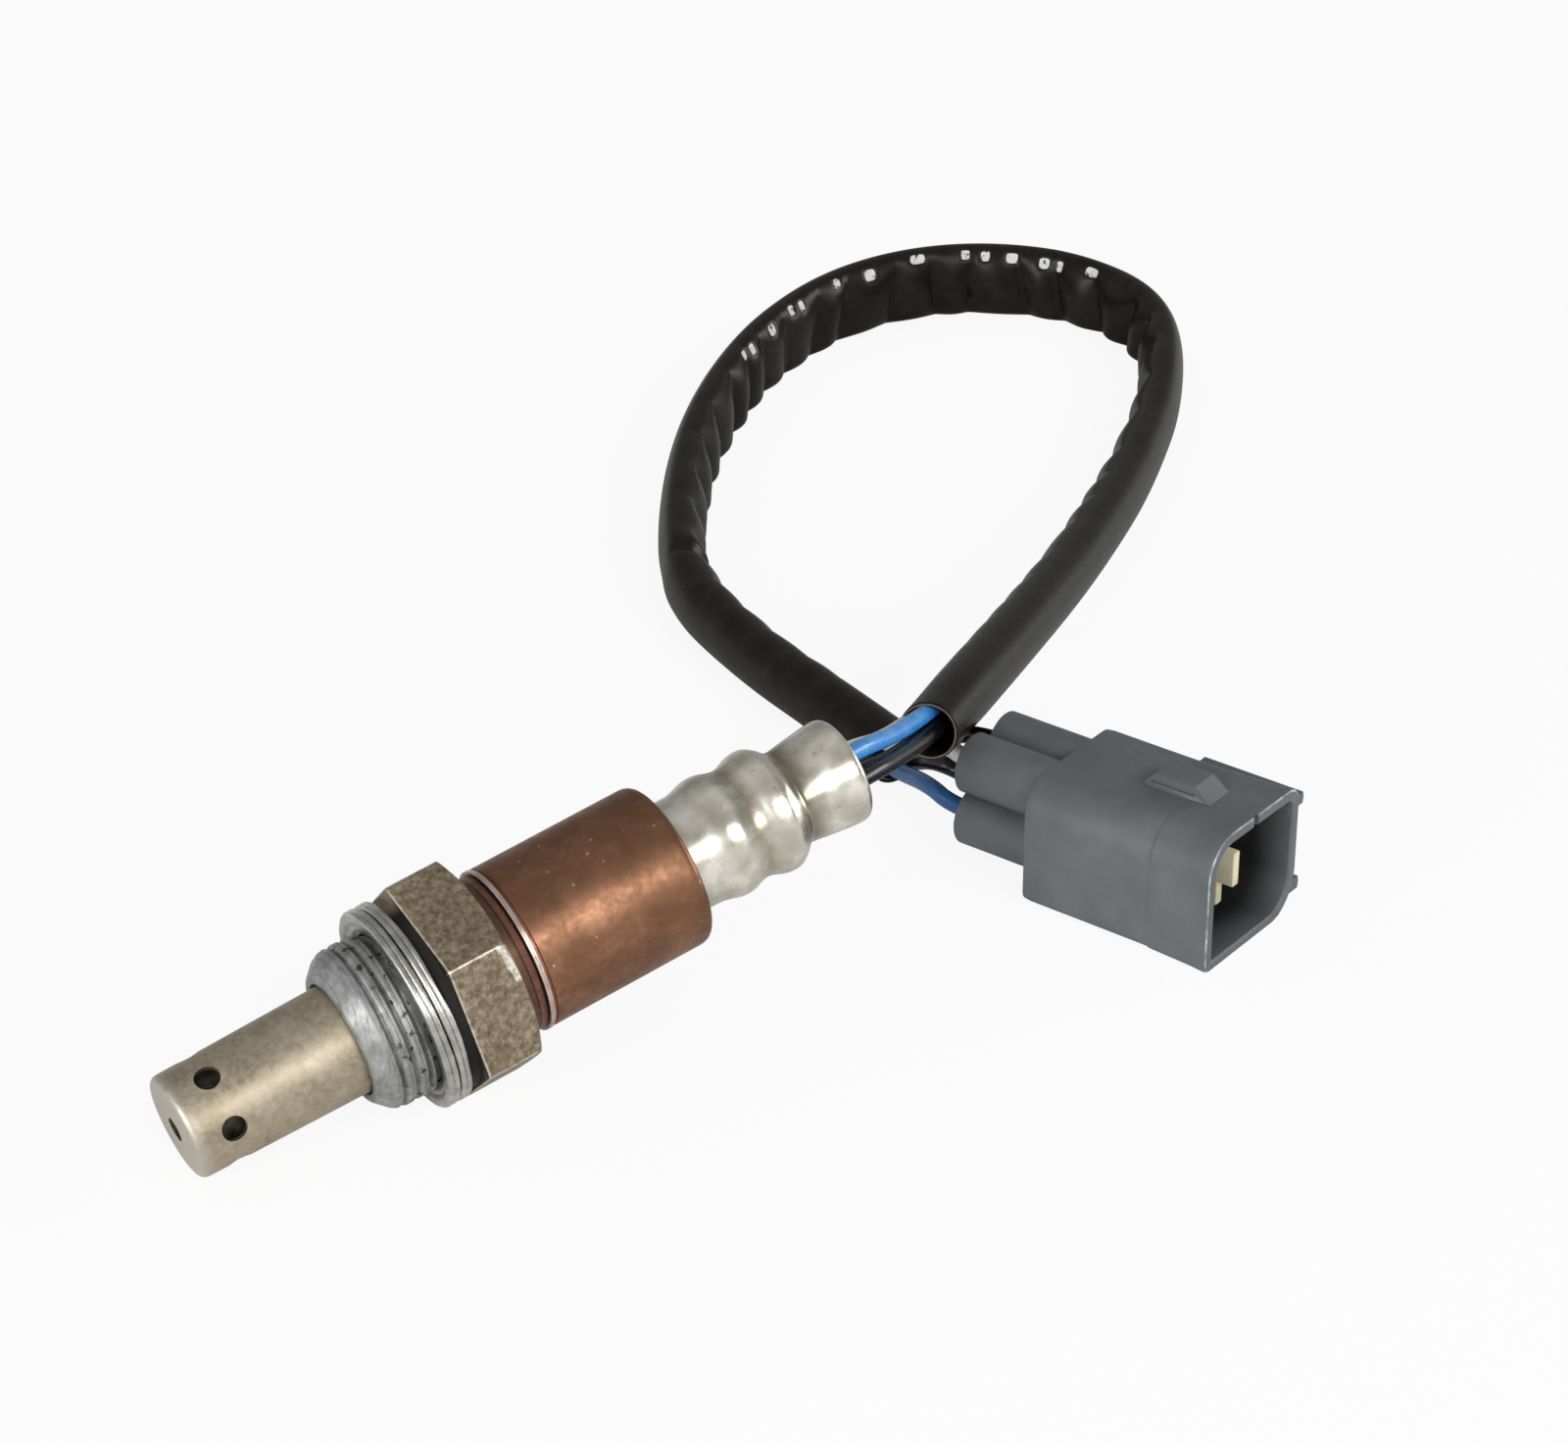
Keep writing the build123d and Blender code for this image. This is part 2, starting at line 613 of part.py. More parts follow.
# Cream terminal retainer in the socket floor, with its centre blade
with BuildPart() as terminal_retainer:
    with BuildSketch(station(socket_floor + fit_gap)):
        with Locations(cavity_centre):
            RectangleRounded(pitch_width + 5.4, pitch_height + 4.0, 1.2)
            with GridLocations(pitch_width, pitch_height, 2, 2):
                Rectangle(pin_width + 2 * retainer_gap, pin_thickness + 2 * retainer_gap, mode=Mode.SUBTRACT)
    extrude(amount=retainer_plate)
    blade_front = socket_floor + blade_reach
    with BuildSketch(side_view(cavity_centre[0])):
        with BuildLine():
            Polyline((socket_floor + retainer_plate / 2, blade_foot), (blade_front - blade_setback, blade_foot),
                     (blade_front - blade_setback, blade_waist), (blade_front, blade_waist),
                     (blade_front, blade_top), (socket_floor + retainer_plate / 2, blade_top), close=True)
        make_face()
    extrude(amount=blade_thickness / 2, both=True)
finish(terminal_retainer, "terminal_retainer")

# Pins and wire seals, one of each for every cavity
cavity_spots = {
    "blue": (cavity_centre[0] - pitch_width / 2, pitch_base),
    "black_a": (cavity_centre[0] + pitch_width / 2, pitch_base),
    "black_b": (cavity_centre[0] + pitch_width / 2, pitch_base + pitch_height),
    "white": (cavity_centre[0] - pitch_width / 2, pitch_base + pitch_height),
}
pin_crimp_start = -barrel_length + seal_depth + fit_gap
lead_end = pin_crimp_start + crimp_barrel_length / 2
pin_tip = socket_floor + pin_reach
for name in lead_names:
    spot = cavity_spots[name]
    with BuildPart() as pin:
        with BuildSketch(station(pin_crimp_start)):
            with Locations(spot):
                Circle(crimp_barrel_radius)
        extrude(amount=crimp_barrel_length)
        with BuildSketch(station(pin_crimp_start + crimp_barrel_length)):
            with Locations(spot):
                Rectangle(pin_square, pin_square)
        extrude(amount=socket_floor - fit_gap - pin_crimp_start - crimp_barrel_length)
        with BuildSketch(station(socket_floor - 1)):
            with Locations(spot):
                Rectangle(pin_width - 0.2, pin_thickness)
        extrude(amount=pin_tip - pin_point - socket_floor + 1)
        with BuildSketch(station(pin_tip - pin_point)):
            with Locations(spot):
                Rectangle(pin_width - 0.2, pin_thickness)
        with BuildSketch(station(pin_tip)):
            with Locations(spot):
                Rectangle(pin_width * 0.6, pin_thickness * 0.4)
        loft()
        with BuildSketch(station(pin_crimp_start)):
            with Locations(spot):
                Circle(lead_radius + fit_gap)
        extrude(amount=lead_end - pin_crimp_start + fit_gap, mode=Mode.SUBTRACT)
    finish(pin, "pin_" + name)

    seal_start = -barrel_length - seal_proud
    with BuildPart() as wire_seal:
        with BuildSketch(station(seal_start)):
            with Locations(spot):
                Circle(seal_bore - fit_gap)
                Circle(lead_radius + fit_gap, mode=Mode.SUBTRACT)
        extrude(amount=seal_proud + seal_length)
        for groove in (0.3, 0.55, 0.8):
            with BuildSketch(station(seal_start + groove * seal_length)):
                with Locations(spot):
                    Circle(seal_bore)
                    Circle(seal_bore - 0.4, mode=Mode.SUBTRACT)
            extrude(amount=0.5, mode=Mode.SUBTRACT)
    finish(wire_seal, "seal_" + name)

# Route of the sleeve, mouth first: it comes down from the gland onto the ground
sleeve_rest = sleeve_radius + 0.05
sleeve_route = [(58.0, 12.9, 16.8), (78, 29.5, 13.2), (103, 51, 8.2), (129, 74.5, 4.8), (151, 97.5, sleeve_rest),
                (160.9, 115.2, sleeve_rest), (157.9, 132.2, sleeve_rest), (144.6, 143.6, sleeve_rest),
                (126.5, 144.4, sleeve_rest), (107, 134.5, sleeve_rest), (89, 118, sleeve_rest),
                (75, 99.5, sleeve_rest), (64, 79.5, sleeve_rest), (62.8, 59.5, sleeve_rest),
                (64, 43.5, sleeve_rest), (64.7, 30, sleeve_rest)]


def bend_radii(points):
    """As large an arc at each corner as its two runs allow."""
    radii = []
    for before, corner, after in zip(points, points[1:], points[2:]):
        run_in = Vector(*corner) - Vector(*before)
        run_out = Vector(*after) - Vector(*corner)
        half_turn = radians(run_in.get_angle(run_out)) / 2
        radii.append(0.45 * min(run_in.length, run_out.length) / tan(half_turn))
    return radii


def shifted(points, angles, offset):
    """The same route moved out by offset, at these angles from up towards the right."""
    moved = []
    for index, point in enumerate(points):
        before = Vector(*points[max(index - 1, 0)])
        after = Vector(*points[min(index + 1, len(points) - 1)])
        ahead = Vector(after.X - before.X, after.Y - before.Y, 0).normalized()
        right = Vector(ahead.Y, -ahead.X, 0)
        swing = radians(angles[index])
        moved.append(Vector(*point) + right * (offset * sin(swing)) + Vector(0, 0, offset * cos(swing)))
    return moved


def run_tube(points, radius, bore=0.0):
    """Sweep a round section along straight runs joined by arcs, in the open part."""
    radii = bend_radii([tuple(point) for point in points])
    with BuildLine() as route:
        FilletPolyline(*[tuple(point) for point in points], radius=radii)
    start = Plane(origin=route.line @ 0, z_dir=route.line % 0)
    with BuildSketch(start) as section:
        Circle(radius)
        if bore:
            Circle(bore, mode=Mode.SUBTRACT)
    sweep(section.sketch, path=route.line)
    return radii, route.wires()[0].length


with BuildPart() as sleeve:
    sleeve_radii, sleeve_length = run_tube(sleeve_route, sleeve_radius, sleeve_radius - sleeve_wall)
finish(sleeve, "sleeve")
print("sleeve radii", [round(radius, 1) for radius in sleeve_radii], "length", round(sleeve_length, 1))

# Each lead: out of its grommet hole, through the sleeve with a slow twist, into its cavity
lead_route = [Vector(*point) for point in sleeve_route]
lead_route[0] = lead_route[0] + (lead_route[0] - lead_route[1]).normalized() * mouth_lead_in
lead_route[-1] = lead_route[-1] + (lead_route[-1] - lead_route[-2]).normalized() * tail_lead_out
for name, angle in zip(lead_names, lead_angles):
    hole = up_dir * (hole_circle * cos(radians(angle))) + side_dir * (hole_circle * sin(radians(angle)))
    twists = [angle + bundle_twist * index / (len(sleeve_route) - 1) for index in range(len(sleeve_route))]
    inside = shifted([tuple(point) for point in lead_route], twists, lead_bundle_radius)
    spot = cavity_spots[name]
    cavity = connector_origin + width_dir * spot[0] + Vector(0, 0, spot[1])
    near_cavity = cavity - length_dir * (barrel_length + cavity_lead_in)
    points = [tip_point + axis_dir * lead_start_t + hole, tip_point + axis_dir * lead_exit_t + hole]
    points += inside + [Vector(*lead_turns[name]), near_cavity, cavity + length_dir * lead_end]
    with BuildPart() as lead:
        lead_radii, lead_length = run_tube(points, lead_radius)
    finish(lead, "lead_" + name)
    print(name, "radii", [round(radius, 1) for radius in lead_radii], "length", round(lead_length, 1),
          "volume ratio", round(lead.part.volume / (lead_length * 3.14159265 * lead_radius ** 2), 4))

os.makedirs("parts", exist_ok=True)
for part, name in finished:
    export_step(part, "parts/" + name + ".step")
print("tilt", round(rest_tilt, 2), "tip", round(tip_x, 2), round(tip_height, 2), "pieces", len(finished))
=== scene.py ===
import bpy
import bmesh
import math
import random
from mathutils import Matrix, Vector


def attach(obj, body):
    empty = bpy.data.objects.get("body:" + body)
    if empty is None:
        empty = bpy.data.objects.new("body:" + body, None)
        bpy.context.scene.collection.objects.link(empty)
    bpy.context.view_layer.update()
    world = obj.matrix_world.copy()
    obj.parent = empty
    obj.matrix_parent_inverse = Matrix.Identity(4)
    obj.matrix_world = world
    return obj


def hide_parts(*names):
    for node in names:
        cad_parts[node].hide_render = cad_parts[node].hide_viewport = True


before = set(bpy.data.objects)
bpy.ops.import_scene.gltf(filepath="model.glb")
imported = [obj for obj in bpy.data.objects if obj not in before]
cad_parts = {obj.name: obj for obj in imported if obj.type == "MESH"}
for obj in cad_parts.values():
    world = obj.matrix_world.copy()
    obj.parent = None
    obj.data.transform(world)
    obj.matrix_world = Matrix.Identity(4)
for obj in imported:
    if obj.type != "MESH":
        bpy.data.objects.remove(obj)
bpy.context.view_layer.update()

# The whole object in millimetres, in the frame of the solids: tip to the left, ground at 0
MM = 0.001
LEAN = math.radians(13.42525)
TIP = Vector((-39.0921, 0.0, 5.3394))
AXIS = Vector((math.cos(LEAN), 0.0, math.sin(LEAN)))
UP = Vector((-math.sin(LEAN), 0.0, math.cos(LEAN)))
NEAR = Vector((0.0, -1.0, 0.0))

HEADING = math.radians(-68.4)
PLUG = Vector((62.2, 0.4, 0.0))
PLUG_LENGTH = Vector((math.cos(HEADING), math.sin(HEADING), 0.0))
PLUG_WIDTH = Vector((-math.sin(HEADING), math.cos(HEADING), 0.0))


def on_sensor(t, radius=0.0, angle=0.0):
    """A point of the sensor: t behind the tip, out by radius, angle from up to the near side."""
    swing = math.radians(angle)
    return TIP + AXIS * t + (UP * math.cos(swing) + NEAR * math.sin(swing)) * radius


def on_plug(length, width, height):
    """A point of the connector: along it from its rear face, across it, and up."""
    return PLUG + PLUG_LENGTH * length + PLUG_WIDTH * width + Vector((0, 0, height))


# Meshes

def mesh_piece(name, points, faces, material_of=None, sharp=35.0):
    """An object from points in millimetres, with faces turned outwards and smooth between sharp edges."""
    mesh = bpy.data.meshes.new(name)
    mesh.from_pydata([tuple(Vector(point) * MM) for point in points], [], faces)
    if material_of:
        for polygon in mesh.polygons:
            polygon.material_index = material_of[polygon.index]
    piece = bpy.data.objects.new(name, mesh)
    bpy.context.scene.collection.objects.link(piece)
    tidy(piece, sharp)
    return piece


def tidy(piece, sharp, merge=0.0):
    """Outward faces, smooth shading and sharp edges only where two faces meet at an angle."""
    work = bmesh.new()
    work.from_mesh(piece.data)
    if merge:
        bmesh.ops.remove_doubles(work, verts=work.verts, dist=merge)
    bmesh.ops.recalc_face_normals(work, faces=work.faces)
    for face in work.faces:
        face.smooth = True
    for edge in work.edges:
        edge.smooth = len(edge.link_faces) == 2 and edge.calc_face_angle(0.0) < math.radians(sharp)
    work.to_mesh(piece.data)
    work.free()


def settled(piece):
    """The piece with its modifiers applied, as a plain mesh at the origin."""
    name = piece.name
    mesh = bpy.data.meshes.new_from_object(piece.evaluated_get(bpy.context.evaluated_depsgraph_get()))
    bpy.data.objects.remove(piece)
    result = bpy.data.objects.new(name, mesh)
    bpy.context.scene.collection.objects.link(result)
    return result


def bevelled(piece, width, degrees, material=-1):
    """The piece with a small round along each edge where faces meet at more than so many degrees."""
    edge = piece.modifiers.new("edge", "BEVEL")
    edge.width = width * MM
    edge.segments = 2
    edge.limit_method = "ANGLE"
    edge.angle_limit = math.radians(degrees)
    edge.material = material
    return settled(piece)


def combine(piece, other, operation):
    """Join or cut one closed mesh with another, and drop the tool."""
    modifier = piece.modifiers.new("combine", "BOOLEAN")
    modifier.operation = operation
    modifier.object = other
    modifier.solver = "EXACT"
    piece = settled(piece)
    bpy.data.objects.remove(other)
    return piece


def marked(piece, name, values):
    """Give each point of the piece a value that its material reads."""
    layer = piece.data.attributes.new(name, "FLOAT", "POINT")
    layer.data.foreach_set("value", values)


def clad(piece, *materials):
    """Give the piece its materials, in the order that its faces count them."""
    for material in materials:
        piece.data.materials.append(material)
    return piece


def ring_faces(first, second, columns):
    """The faces between two rings of points, given by the rings' numbers."""
    low, high = first * columns, second * columns
    return [(low + index, low + (index + 1) % columns, high + (index + 1) % columns, high + index)
            for index in range(columns)]


def softened(outline, radii, steps):
    """A closed outline of (t, radius) points with each corner rounded by its own radius."""
    result = []
    for index, radius in enumerate(radii):
        corner = Vector(outline[index])
        before = Vector(outline[index - 1]) - corner
        after = Vector(outline[(index + 1) % len(outline)]) - corner
        half = before.angle(after) / 2
        if radius <= 0 or half > math.radians(88):
            result.append(tuple(corner))
            continue
        reach = min(radius / math.tan(half), before.length * 0.48, after.length * 0.48)
        start, end = corner + before.normalized() * reach, corner + after.normalized() * reach
        for step in range(steps + 1):
            share = step / steps
            middle = corner * 2 * share * (1 - share)
            result.append(tuple(start * (1 - share) ** 2 + middle + end * share ** 2))
    return result


def lathed(name, outline, segments, sharp, material_of=None, shape=None):
    """Turn a closed outline of (t, radius) points about the sensor's axis."""
    points, faces, slots = [], [], []
    for t, radius in outline:
        for index in range(segments):
            angle = 360 * index / segments
            bump = shape(t, angle) if shape else 0.0
            points.append(on_sensor(t, max(radius + bump, 0.0), angle))
    for row, (t, radius) in enumerate(outline):
        following = (row + 1) % len(outline)
        slot = 0
        if material_of:
            slot = material_of((t + outline[following][0]) / 2, (radius + outline[following][1]) / 2)
        faces += ring_faces(row, following, segments)
        slots += [slot] * segments
    return mesh_piece(name, points, faces, slots, sharp)


# What the materials share

def colour(text):
    """A display colour such as #808080 as linear values."""
    values = [int(text[place:place + 2], 16) / 255 for place in (1, 3, 5)]
    return tuple(v / 12.92 if v <= 0.04045 else ((v + 0.055) / 1.055) ** 2.4 for v in values) + (1.0,)


def add(tree, kind, inputs=(), shades=(), **settings):
    """Add a node with its settings and a ramp's (position, colour) shades, and give its outputs.

    The inputs are values or other nodes' sockets, by name or in the node's own order.
    """
    made = tree.nodes.new(kind)
    for key, value in settings.items():
        setattr(made, key, value)
    for key, value in inputs.items() if isinstance(inputs, dict) else enumerate(inputs):
        if isinstance(value, bpy.types.NodeSocket):
            tree.links.new(value, made.inputs[key])
        else:
            made.inputs[key].default_value = value
    if shades:
        elements = made.color_ramp.elements
        while len(elements) < len(shades):
            elements.new(0.5)
        for element, (position, text) in zip(elements, shades):
            element.position = position
            element.color = colour(text)
    return made.outputs


def new_material(name, *patterns, **values):
    """A material, its tree, and its noise patterns, each from a lump size in mm, detail and roughness.

    The other values are set on the surface shader itself.
    """
    material = bpy.data.materials.new(name)
    material.use_nodes = True
    tree = material.node_tree
    for key, value in values.items():
        tree.nodes["Principled BSDF"].inputs[key.replace("_", " ")].default_value = value
    place = add(tree, "ShaderNodeTexCoord")["Object"]
    made = []
    for size, detail, roughness in patterns:
        made.append(add(tree, "ShaderNodeTexNoise", {"Vector": place, "Scale": 1 / (size * MM),
                                                     "Detail": detail, "Roughness": roughness})["Fac"])
    return material, tree, made


def stained(tree, tone, text, pattern, low, high, at_low, at_high, within=None):
    """Lay a colour over the tone, as strongly as a pattern's place between low and high says."""
    strength = add(tree, "ShaderNodeMapRange", (pattern, low, high, at_low, at_high))["Result"]
    if within is not None:
        strength = add(tree, "ShaderNodeMath", (strength, within), operation="MULTIPLY")["Value"]
    return add(tree, "ShaderNodeMix", {0: strength, 6: tone, 7: colour(text)}, data_type="RGBA")[2]


def finished(material, tone, rough, relief, span=(0.3, 0.7)):
    """Link the tone, a roughness and a relief to the surface shader.

    rough is a pattern with the roughness at both ends of its span, and relief a pattern with its
    depth in mm and its strength.
    """
    tree = material.node_tree
    level = add(tree, "ShaderNodeMapRange", (rough[0], *span, rough[1], rough[2]))["Result"]
    bump = add(tree, "ShaderNodeBump", {"Height": relief[0], "Distance": relief[1] * MM,
                                        "Strength": relief[2]})["Normal"]
    for socket, name in ((tone, "Base Color"), (level, "Roughness"), (bump, "Normal")):
        tree.links.new(socket, tree.nodes["Principled BSDF"].inputs[name])
    return material


def behind_tip(tree):
    """How far a point is behind the tip, in millimetres."""
    place = add(tree, "ShaderNodeTexCoord")["Object"]
    moved = add(tree, "ShaderNodeVectorMath", (place, tuple(TIP * MM)), operation="SUBTRACT")["Vector"]
    along = add(tree, "ShaderNodeVectorMath", (moved, tuple(AXIS)), operation="DOT_PRODUCT")["Value"]
    return add(tree, "ShaderNodeMath", (along, 1 / MM), operation="MULTIPLY")["Value"]


# Materials

# Stainless deep-drawn and heated in use: satin, olive khaki, sandy mottle, paler on the round tip
def heated_stainless():
    material, tree, (cloud, sand, speck) = new_material(
        "Stainless, khaki heat tint, drawn", (4.0, 5.0, 0.62), (0.6, 4.0, 0.65), (0.3, 3.0, 0.6),
        Metallic=0.9)
    shades = ((0.30, "#94876f"), (0.50, "#ab9e88"), (0.72, "#bcb19e"))
    tone = add(tree, "ShaderNodeValToRGB", [cloud], shades)["Color"]
    tone = stained(tree, tone, "#cbc1ae", sand, 0.40, 0.68, 0.0, 0.5)
    tone = stained(tree, tone, "#cdc8be", behind_tip(tree), 0.1, 1.6, 0.75, 0.0)
    tone = stained(tree, tone, "#6f6350", speck, 0.62, 0.74, 0.0, 0.45)
    return finished(material, tone, (sand, 0.40, 0.56), (sand, 0.04, 0.5))


# The inner cup in the exhaust's soot: darker, seen through the outer cup's holes
def sooty_stainless():
    material, tree, (soot,) = new_material("Stainless, sooted, drawn", (1.2, 4.0, 0.65), Metallic=0.6)
    tone = add(tree, "ShaderNodeValToRGB", [soot], ((0.35, "#2a241d"), (0.70, "#62574a")))["Color"]
    return finished(material, tone, (soot, 0.55, 0.75), (soot, 0.03, 0.3))


# Zinc-plated steel, machined: pale grey, fine turning lines, grease dried dark in the thread roots
def plated_thread():
    material, tree, (speck, cloud, blot) = new_material(
        "Plated steel, machined thread", (0.5, 4.0, 0.65), (2.4, 5.0, 0.65), (1.1, 2.0, 0.5), Metallic=0.8)
    # the noise is drawn out round the axis into turning lines
    place = add(tree, "ShaderNodeTexCoord")["Object"]
    place = add(tree, "ShaderNodeMapping", {"Vector": place, "Rotation": (0.0, LEAN, 0.0),
                                            "Scale": (1.0, 0.12, 0.12)})["Vector"]
    streak = add(tree, "ShaderNodeTexNoise", {"Vector": place, "Scale": 1 / (0.22 * MM), "Detail": 3.0,
                                              "Roughness": 0.6})["Fac"]
    root = add(tree, "ShaderNodeAttribute", attribute_name="root")["Fac"]
    on_thread = add(tree, "ShaderNodeMapRange", (behind_tip(tree), 21.0, 22.6, 0.0, 1.0))["Result"]
    shades = ((0.25, "#7d7d7b"), (0.5, "#9fa09f"), (0.75, "#c0c1c2"))
    tone = add(tree, "ShaderNodeValToRGB", [cloud], shades)["Color"]
    tone = stained(tree, tone, "#6d6c68", streak, 0.50, 0.68, 0.0, 0.55)
    tone = stained(tree, tone, "#3b3935", cloud, 0.35, 0.6, 0.8, 0.44, root)
    tone = stained(tree, tone, "#262420", blot, 0.60, 0.64, 0.0, 0.85, on_thread)
    return finished(material, tone, (speck, 0.42, 0.60), (streak, 0.06, 0.6))


# Plated steel hexagon after heat: blotchy olive-brown, worn to bare metal on its edges
def stained_hexagon():
    material, tree, (blotch, cloud, fine) = new_material(
        "Plated steel, heat-stained hexagon", (0.75, 6.0, 0.7), (6.0, 3.0, 0.5), (0.28, 3.0, 0.6),
        Metallic=0.7)
    wear = add(tree, "ShaderNodeAttribute", attribute_name="wear")["Fac"]
    shades = ((0.30, "#54483a"), (0.44, "#7f705b"), (0.56, "#a0917b"), (0.70, "#c4b8a1"))
    tone = add(tree, "ShaderNodeValToRGB", [blotch], shades)["Color"]
    tone = stained(tree, tone, "#6f614b", cloud, 0.35, 0.65, 0.0, 0.35)
    tone = stained(tree, tone, "#ece7dc", blotch, 0.38, 0.52, 0.35, 1.0, wear)
    return finished(material, tone, (blotch, 0.52, 0.34), (fine, 0.03, 0.4))


# The same steel in the lee of the gasket, painted near black as painted shade, and only its far side in the
# steel's own brown
def collar_with_painted_shade():
    material, tree, (blotch,) = new_material("Plated steel, brown, near half painted shade", (1.4, 5.0, 0.65), Metallic=0.3)
    wear = add(tree, "ShaderNodeAttribute", attribute_name="wear")["Fac"]
    place = add(tree, "ShaderNodeTexCoord")["Object"]
    across = add(tree, "ShaderNodeSeparateXYZ", [place])["Y"]
    # painted shade: a near-black base over the whole collar
    shades = ((0.35, "#0c0b09"), (0.55, "#15120e"), (0.74, "#2d271e"))
    tone = add(tree, "ShaderNodeValToRGB", [blotch], shades)["Color"]
    tone = stained(tree, tone, "#a39680", blotch, 0.42, 0.58, 0.0, 0.7, wear)
    # only the far half, where light falls, keeps the steel's own brown
    tone = stained(tree, tone, "#85755f", across, 0.0, 2 * MM, 0.0, 0.85)
    return finished(material, tone, (blotch, 0.55, 0.75), (blotch, 0.03, 0.4))


# The neck behind the hexagon: painted shade dark in the corner, then brown, a dark line, then copper, and
# painted shade again where it meets the bead
def banded_neck():
    material, tree, (blotch,) = new_material(
        "Plated steel, brown and copper neck", (0.9, 4.0, 0.6), Metallic=0.85)
    share = add(tree, "ShaderNodeMapRange", (behind_tip(tree), 36.0, 38.4, 0.0, 1.0))["Result"]
    # the darkest shades at both ends are painted shade
    shades = ((0.0, "#17120d"), (0.14, "#2c2219"), (0.24, "#6a4f3e"), (0.52, "#6f5342"), (0.60, "#33231a"),
              (0.66, "#8d6251"), (0.88, "#9c6f5d"), (0.96, "#221811"))
    tone = add(tree, "ShaderNodeValToRGB", [share], shades)["Color"]
    tone = stained(tree, tone, "#4d3a2d", blotch, 0.40, 0.65, 0.0, 0.4)
    return finished(material, tone, (blotch, 0.34, 0.50), (blotch, 0.03, 0.3))


# Bright rolled sheet: cool, nearly mirror, a little scuffed
def bright_sheet(name, low, high, rough):
    material, tree, (cloud, scuff) = new_material(name, (2.0, 4.0, 0.6), (0.3, 3.0, 0.6), Metallic=1.0)
    tone = add(tree, "ShaderNodeValToRGB", [cloud], ((0.3, low), (0.65, high)))["Color"]
    return finished(material, tone, (scuff, rough, rough + 0.14), (scuff, 0.02, 0.3))


# Stainless tube, polished by rolling: mirror-like, its colour clouded paler and darker in soft waves as
# painted reflections, faintly stained brown at the rear flare
def polished_tube():
    material, tree, (cloud, stain) = new_material(
        "Stainless tube, polished", (3.0, 3.0, 0.5), (1.2, 4.0, 0.6), Metallic=0.95)
    behind = behind_tip(tree)
    # painted reflections: soft waves of paler and darker colour
    shades = ((0.34, "#cbc6b7"), (0.50, "#e0dbcd"), (0.64, "#f6f2e7"))
    tone = add(tree, "ShaderNodeValToRGB", [cloud], shades)["Color"]
    # painted shade and dark reflection in its grooves and at its root
    share = add(tree, "ShaderNodeMapRange", (behind, 56.0, 81.0, 0.0, 1.0))["Result"]
    shades = ((0.02, "#6f6a5c"), (0.16, "#ffffff"), (0.36, "#ffffff"), (0.44, "#b5ae9d"), (0.50, "#ffffff"),
              (0.62, "#ffffff"), (0.69, "#8f8877"), (0.78, "#ffffff"))
    groove = add(tree, "ShaderNodeValToRGB", [share], shades)["Color"]
    tone = add(tree, "ShaderNodeMix", {0: 0.8, 6: tone, 7: groove}, data_type="RGBA",
               blend_type="MULTIPLY")[2]
    at_flare = add(tree, "ShaderNodeMapRange", (behind, 68.0, 73.0, 0.35, 1.0))["Result"]
    tone = stained(tree, tone, "#8f7a60", stain, 0.60, 0.70, 0.0, 0.5, at_flare)
    return finished(material, tone, (cloud, 0.21, 0.31), (cloud, 0.03, 0.15))


# Ferritic stainless barrel, oxidised in the engine bay: copper to chestnut, with pin specks and scratches
def copper_tint():
    material, tree, (mottle, fine) = new_material(
        "Stainless, copper-brown heat tint", (1.0, 5.0, 0.65), (0.25, 3.0, 0.6), Metallic=1.0)
    place = add(tree, "ShaderNodeTexCoord")["Object"]
    cloud = add(tree, "ShaderNodeTexNoise", {"Vector": place, "Scale": 1 / (8.0 * MM), "Detail": 5.0,
                                             "Roughness": 0.62, "Distortion": 0.3})["Fac"]
    shades = ((0.28, "#73533f"), (0.5, "#956b53"), (0.72, "#b2856a"))
    tone = add(tree, "ShaderNodeValToRGB", [cloud], shades)["Color"]
    tone = stained(tree, tone, "#73553f", mottle, 0.36, 0.66, 0.0, 0.6)
    tone = stained(tree, tone, "#b28a70", fine, 0.60, 0.74, 0.0, 0.35)
    pits = add(tree, "ShaderNodeTexVoronoi", {"Vector": place, "Scale": 1 / (1.7 * MM)})["Distance"]
    clouded = add(tree, "ShaderNodeMapRange", (cloud, 0.42, 0.52, 0.0, 0.85))["Result"]
    tone = stained(tree, tone, "#dcc3ac", pits, 0.06, 0.12, 1.0, 0.0, clouded)
    # two sets of broken scratches, crossing
    broken = add(tree, "ShaderNodeMapRange", (mottle, 0.44, 0.52, 0.0, 1.0))["Result"]
    for turn, size, width in (((0.5, 0.9, 0.3), 3.0, 0.045), ((-0.4, 0.2, 1.1), 4.2, 0.032)):
        slanted = add(tree, "ShaderNodeMapping", {"Vector": place, "Rotation": turn,
                                                  "Scale": (1.0, 0.07, 1.0)})["Vector"]
        lines = add(tree, "ShaderNodeTexVoronoi", {"Vector": slanted, "Scale": 1 / (size * MM)})["Distance"]
        tone = stained(tree, tone, "#d8b69c", lines, width * 0.5, width, 0.8, 0.0, broken)
    return finished(material, tone, (mottle, 0.34, 0.50), (fine, 0.02, 0.4))


# Fired ceramic, pressed powder, moulded plastic and rubber: matt, even, a little cloudy
def plain_matt(name, low, high, rough, size=0.8):
    material, tree, (cloud,) = new_material(name, (size, 5.0, 0.6))
    tone = add(tree, "ShaderNodeValToRGB", [cloud], ((0.3, low), (0.7, high)))["Color"]
    return finished(material, tone, (cloud, rough, rough + 0.12), (cloud, 0.03, 0.3))
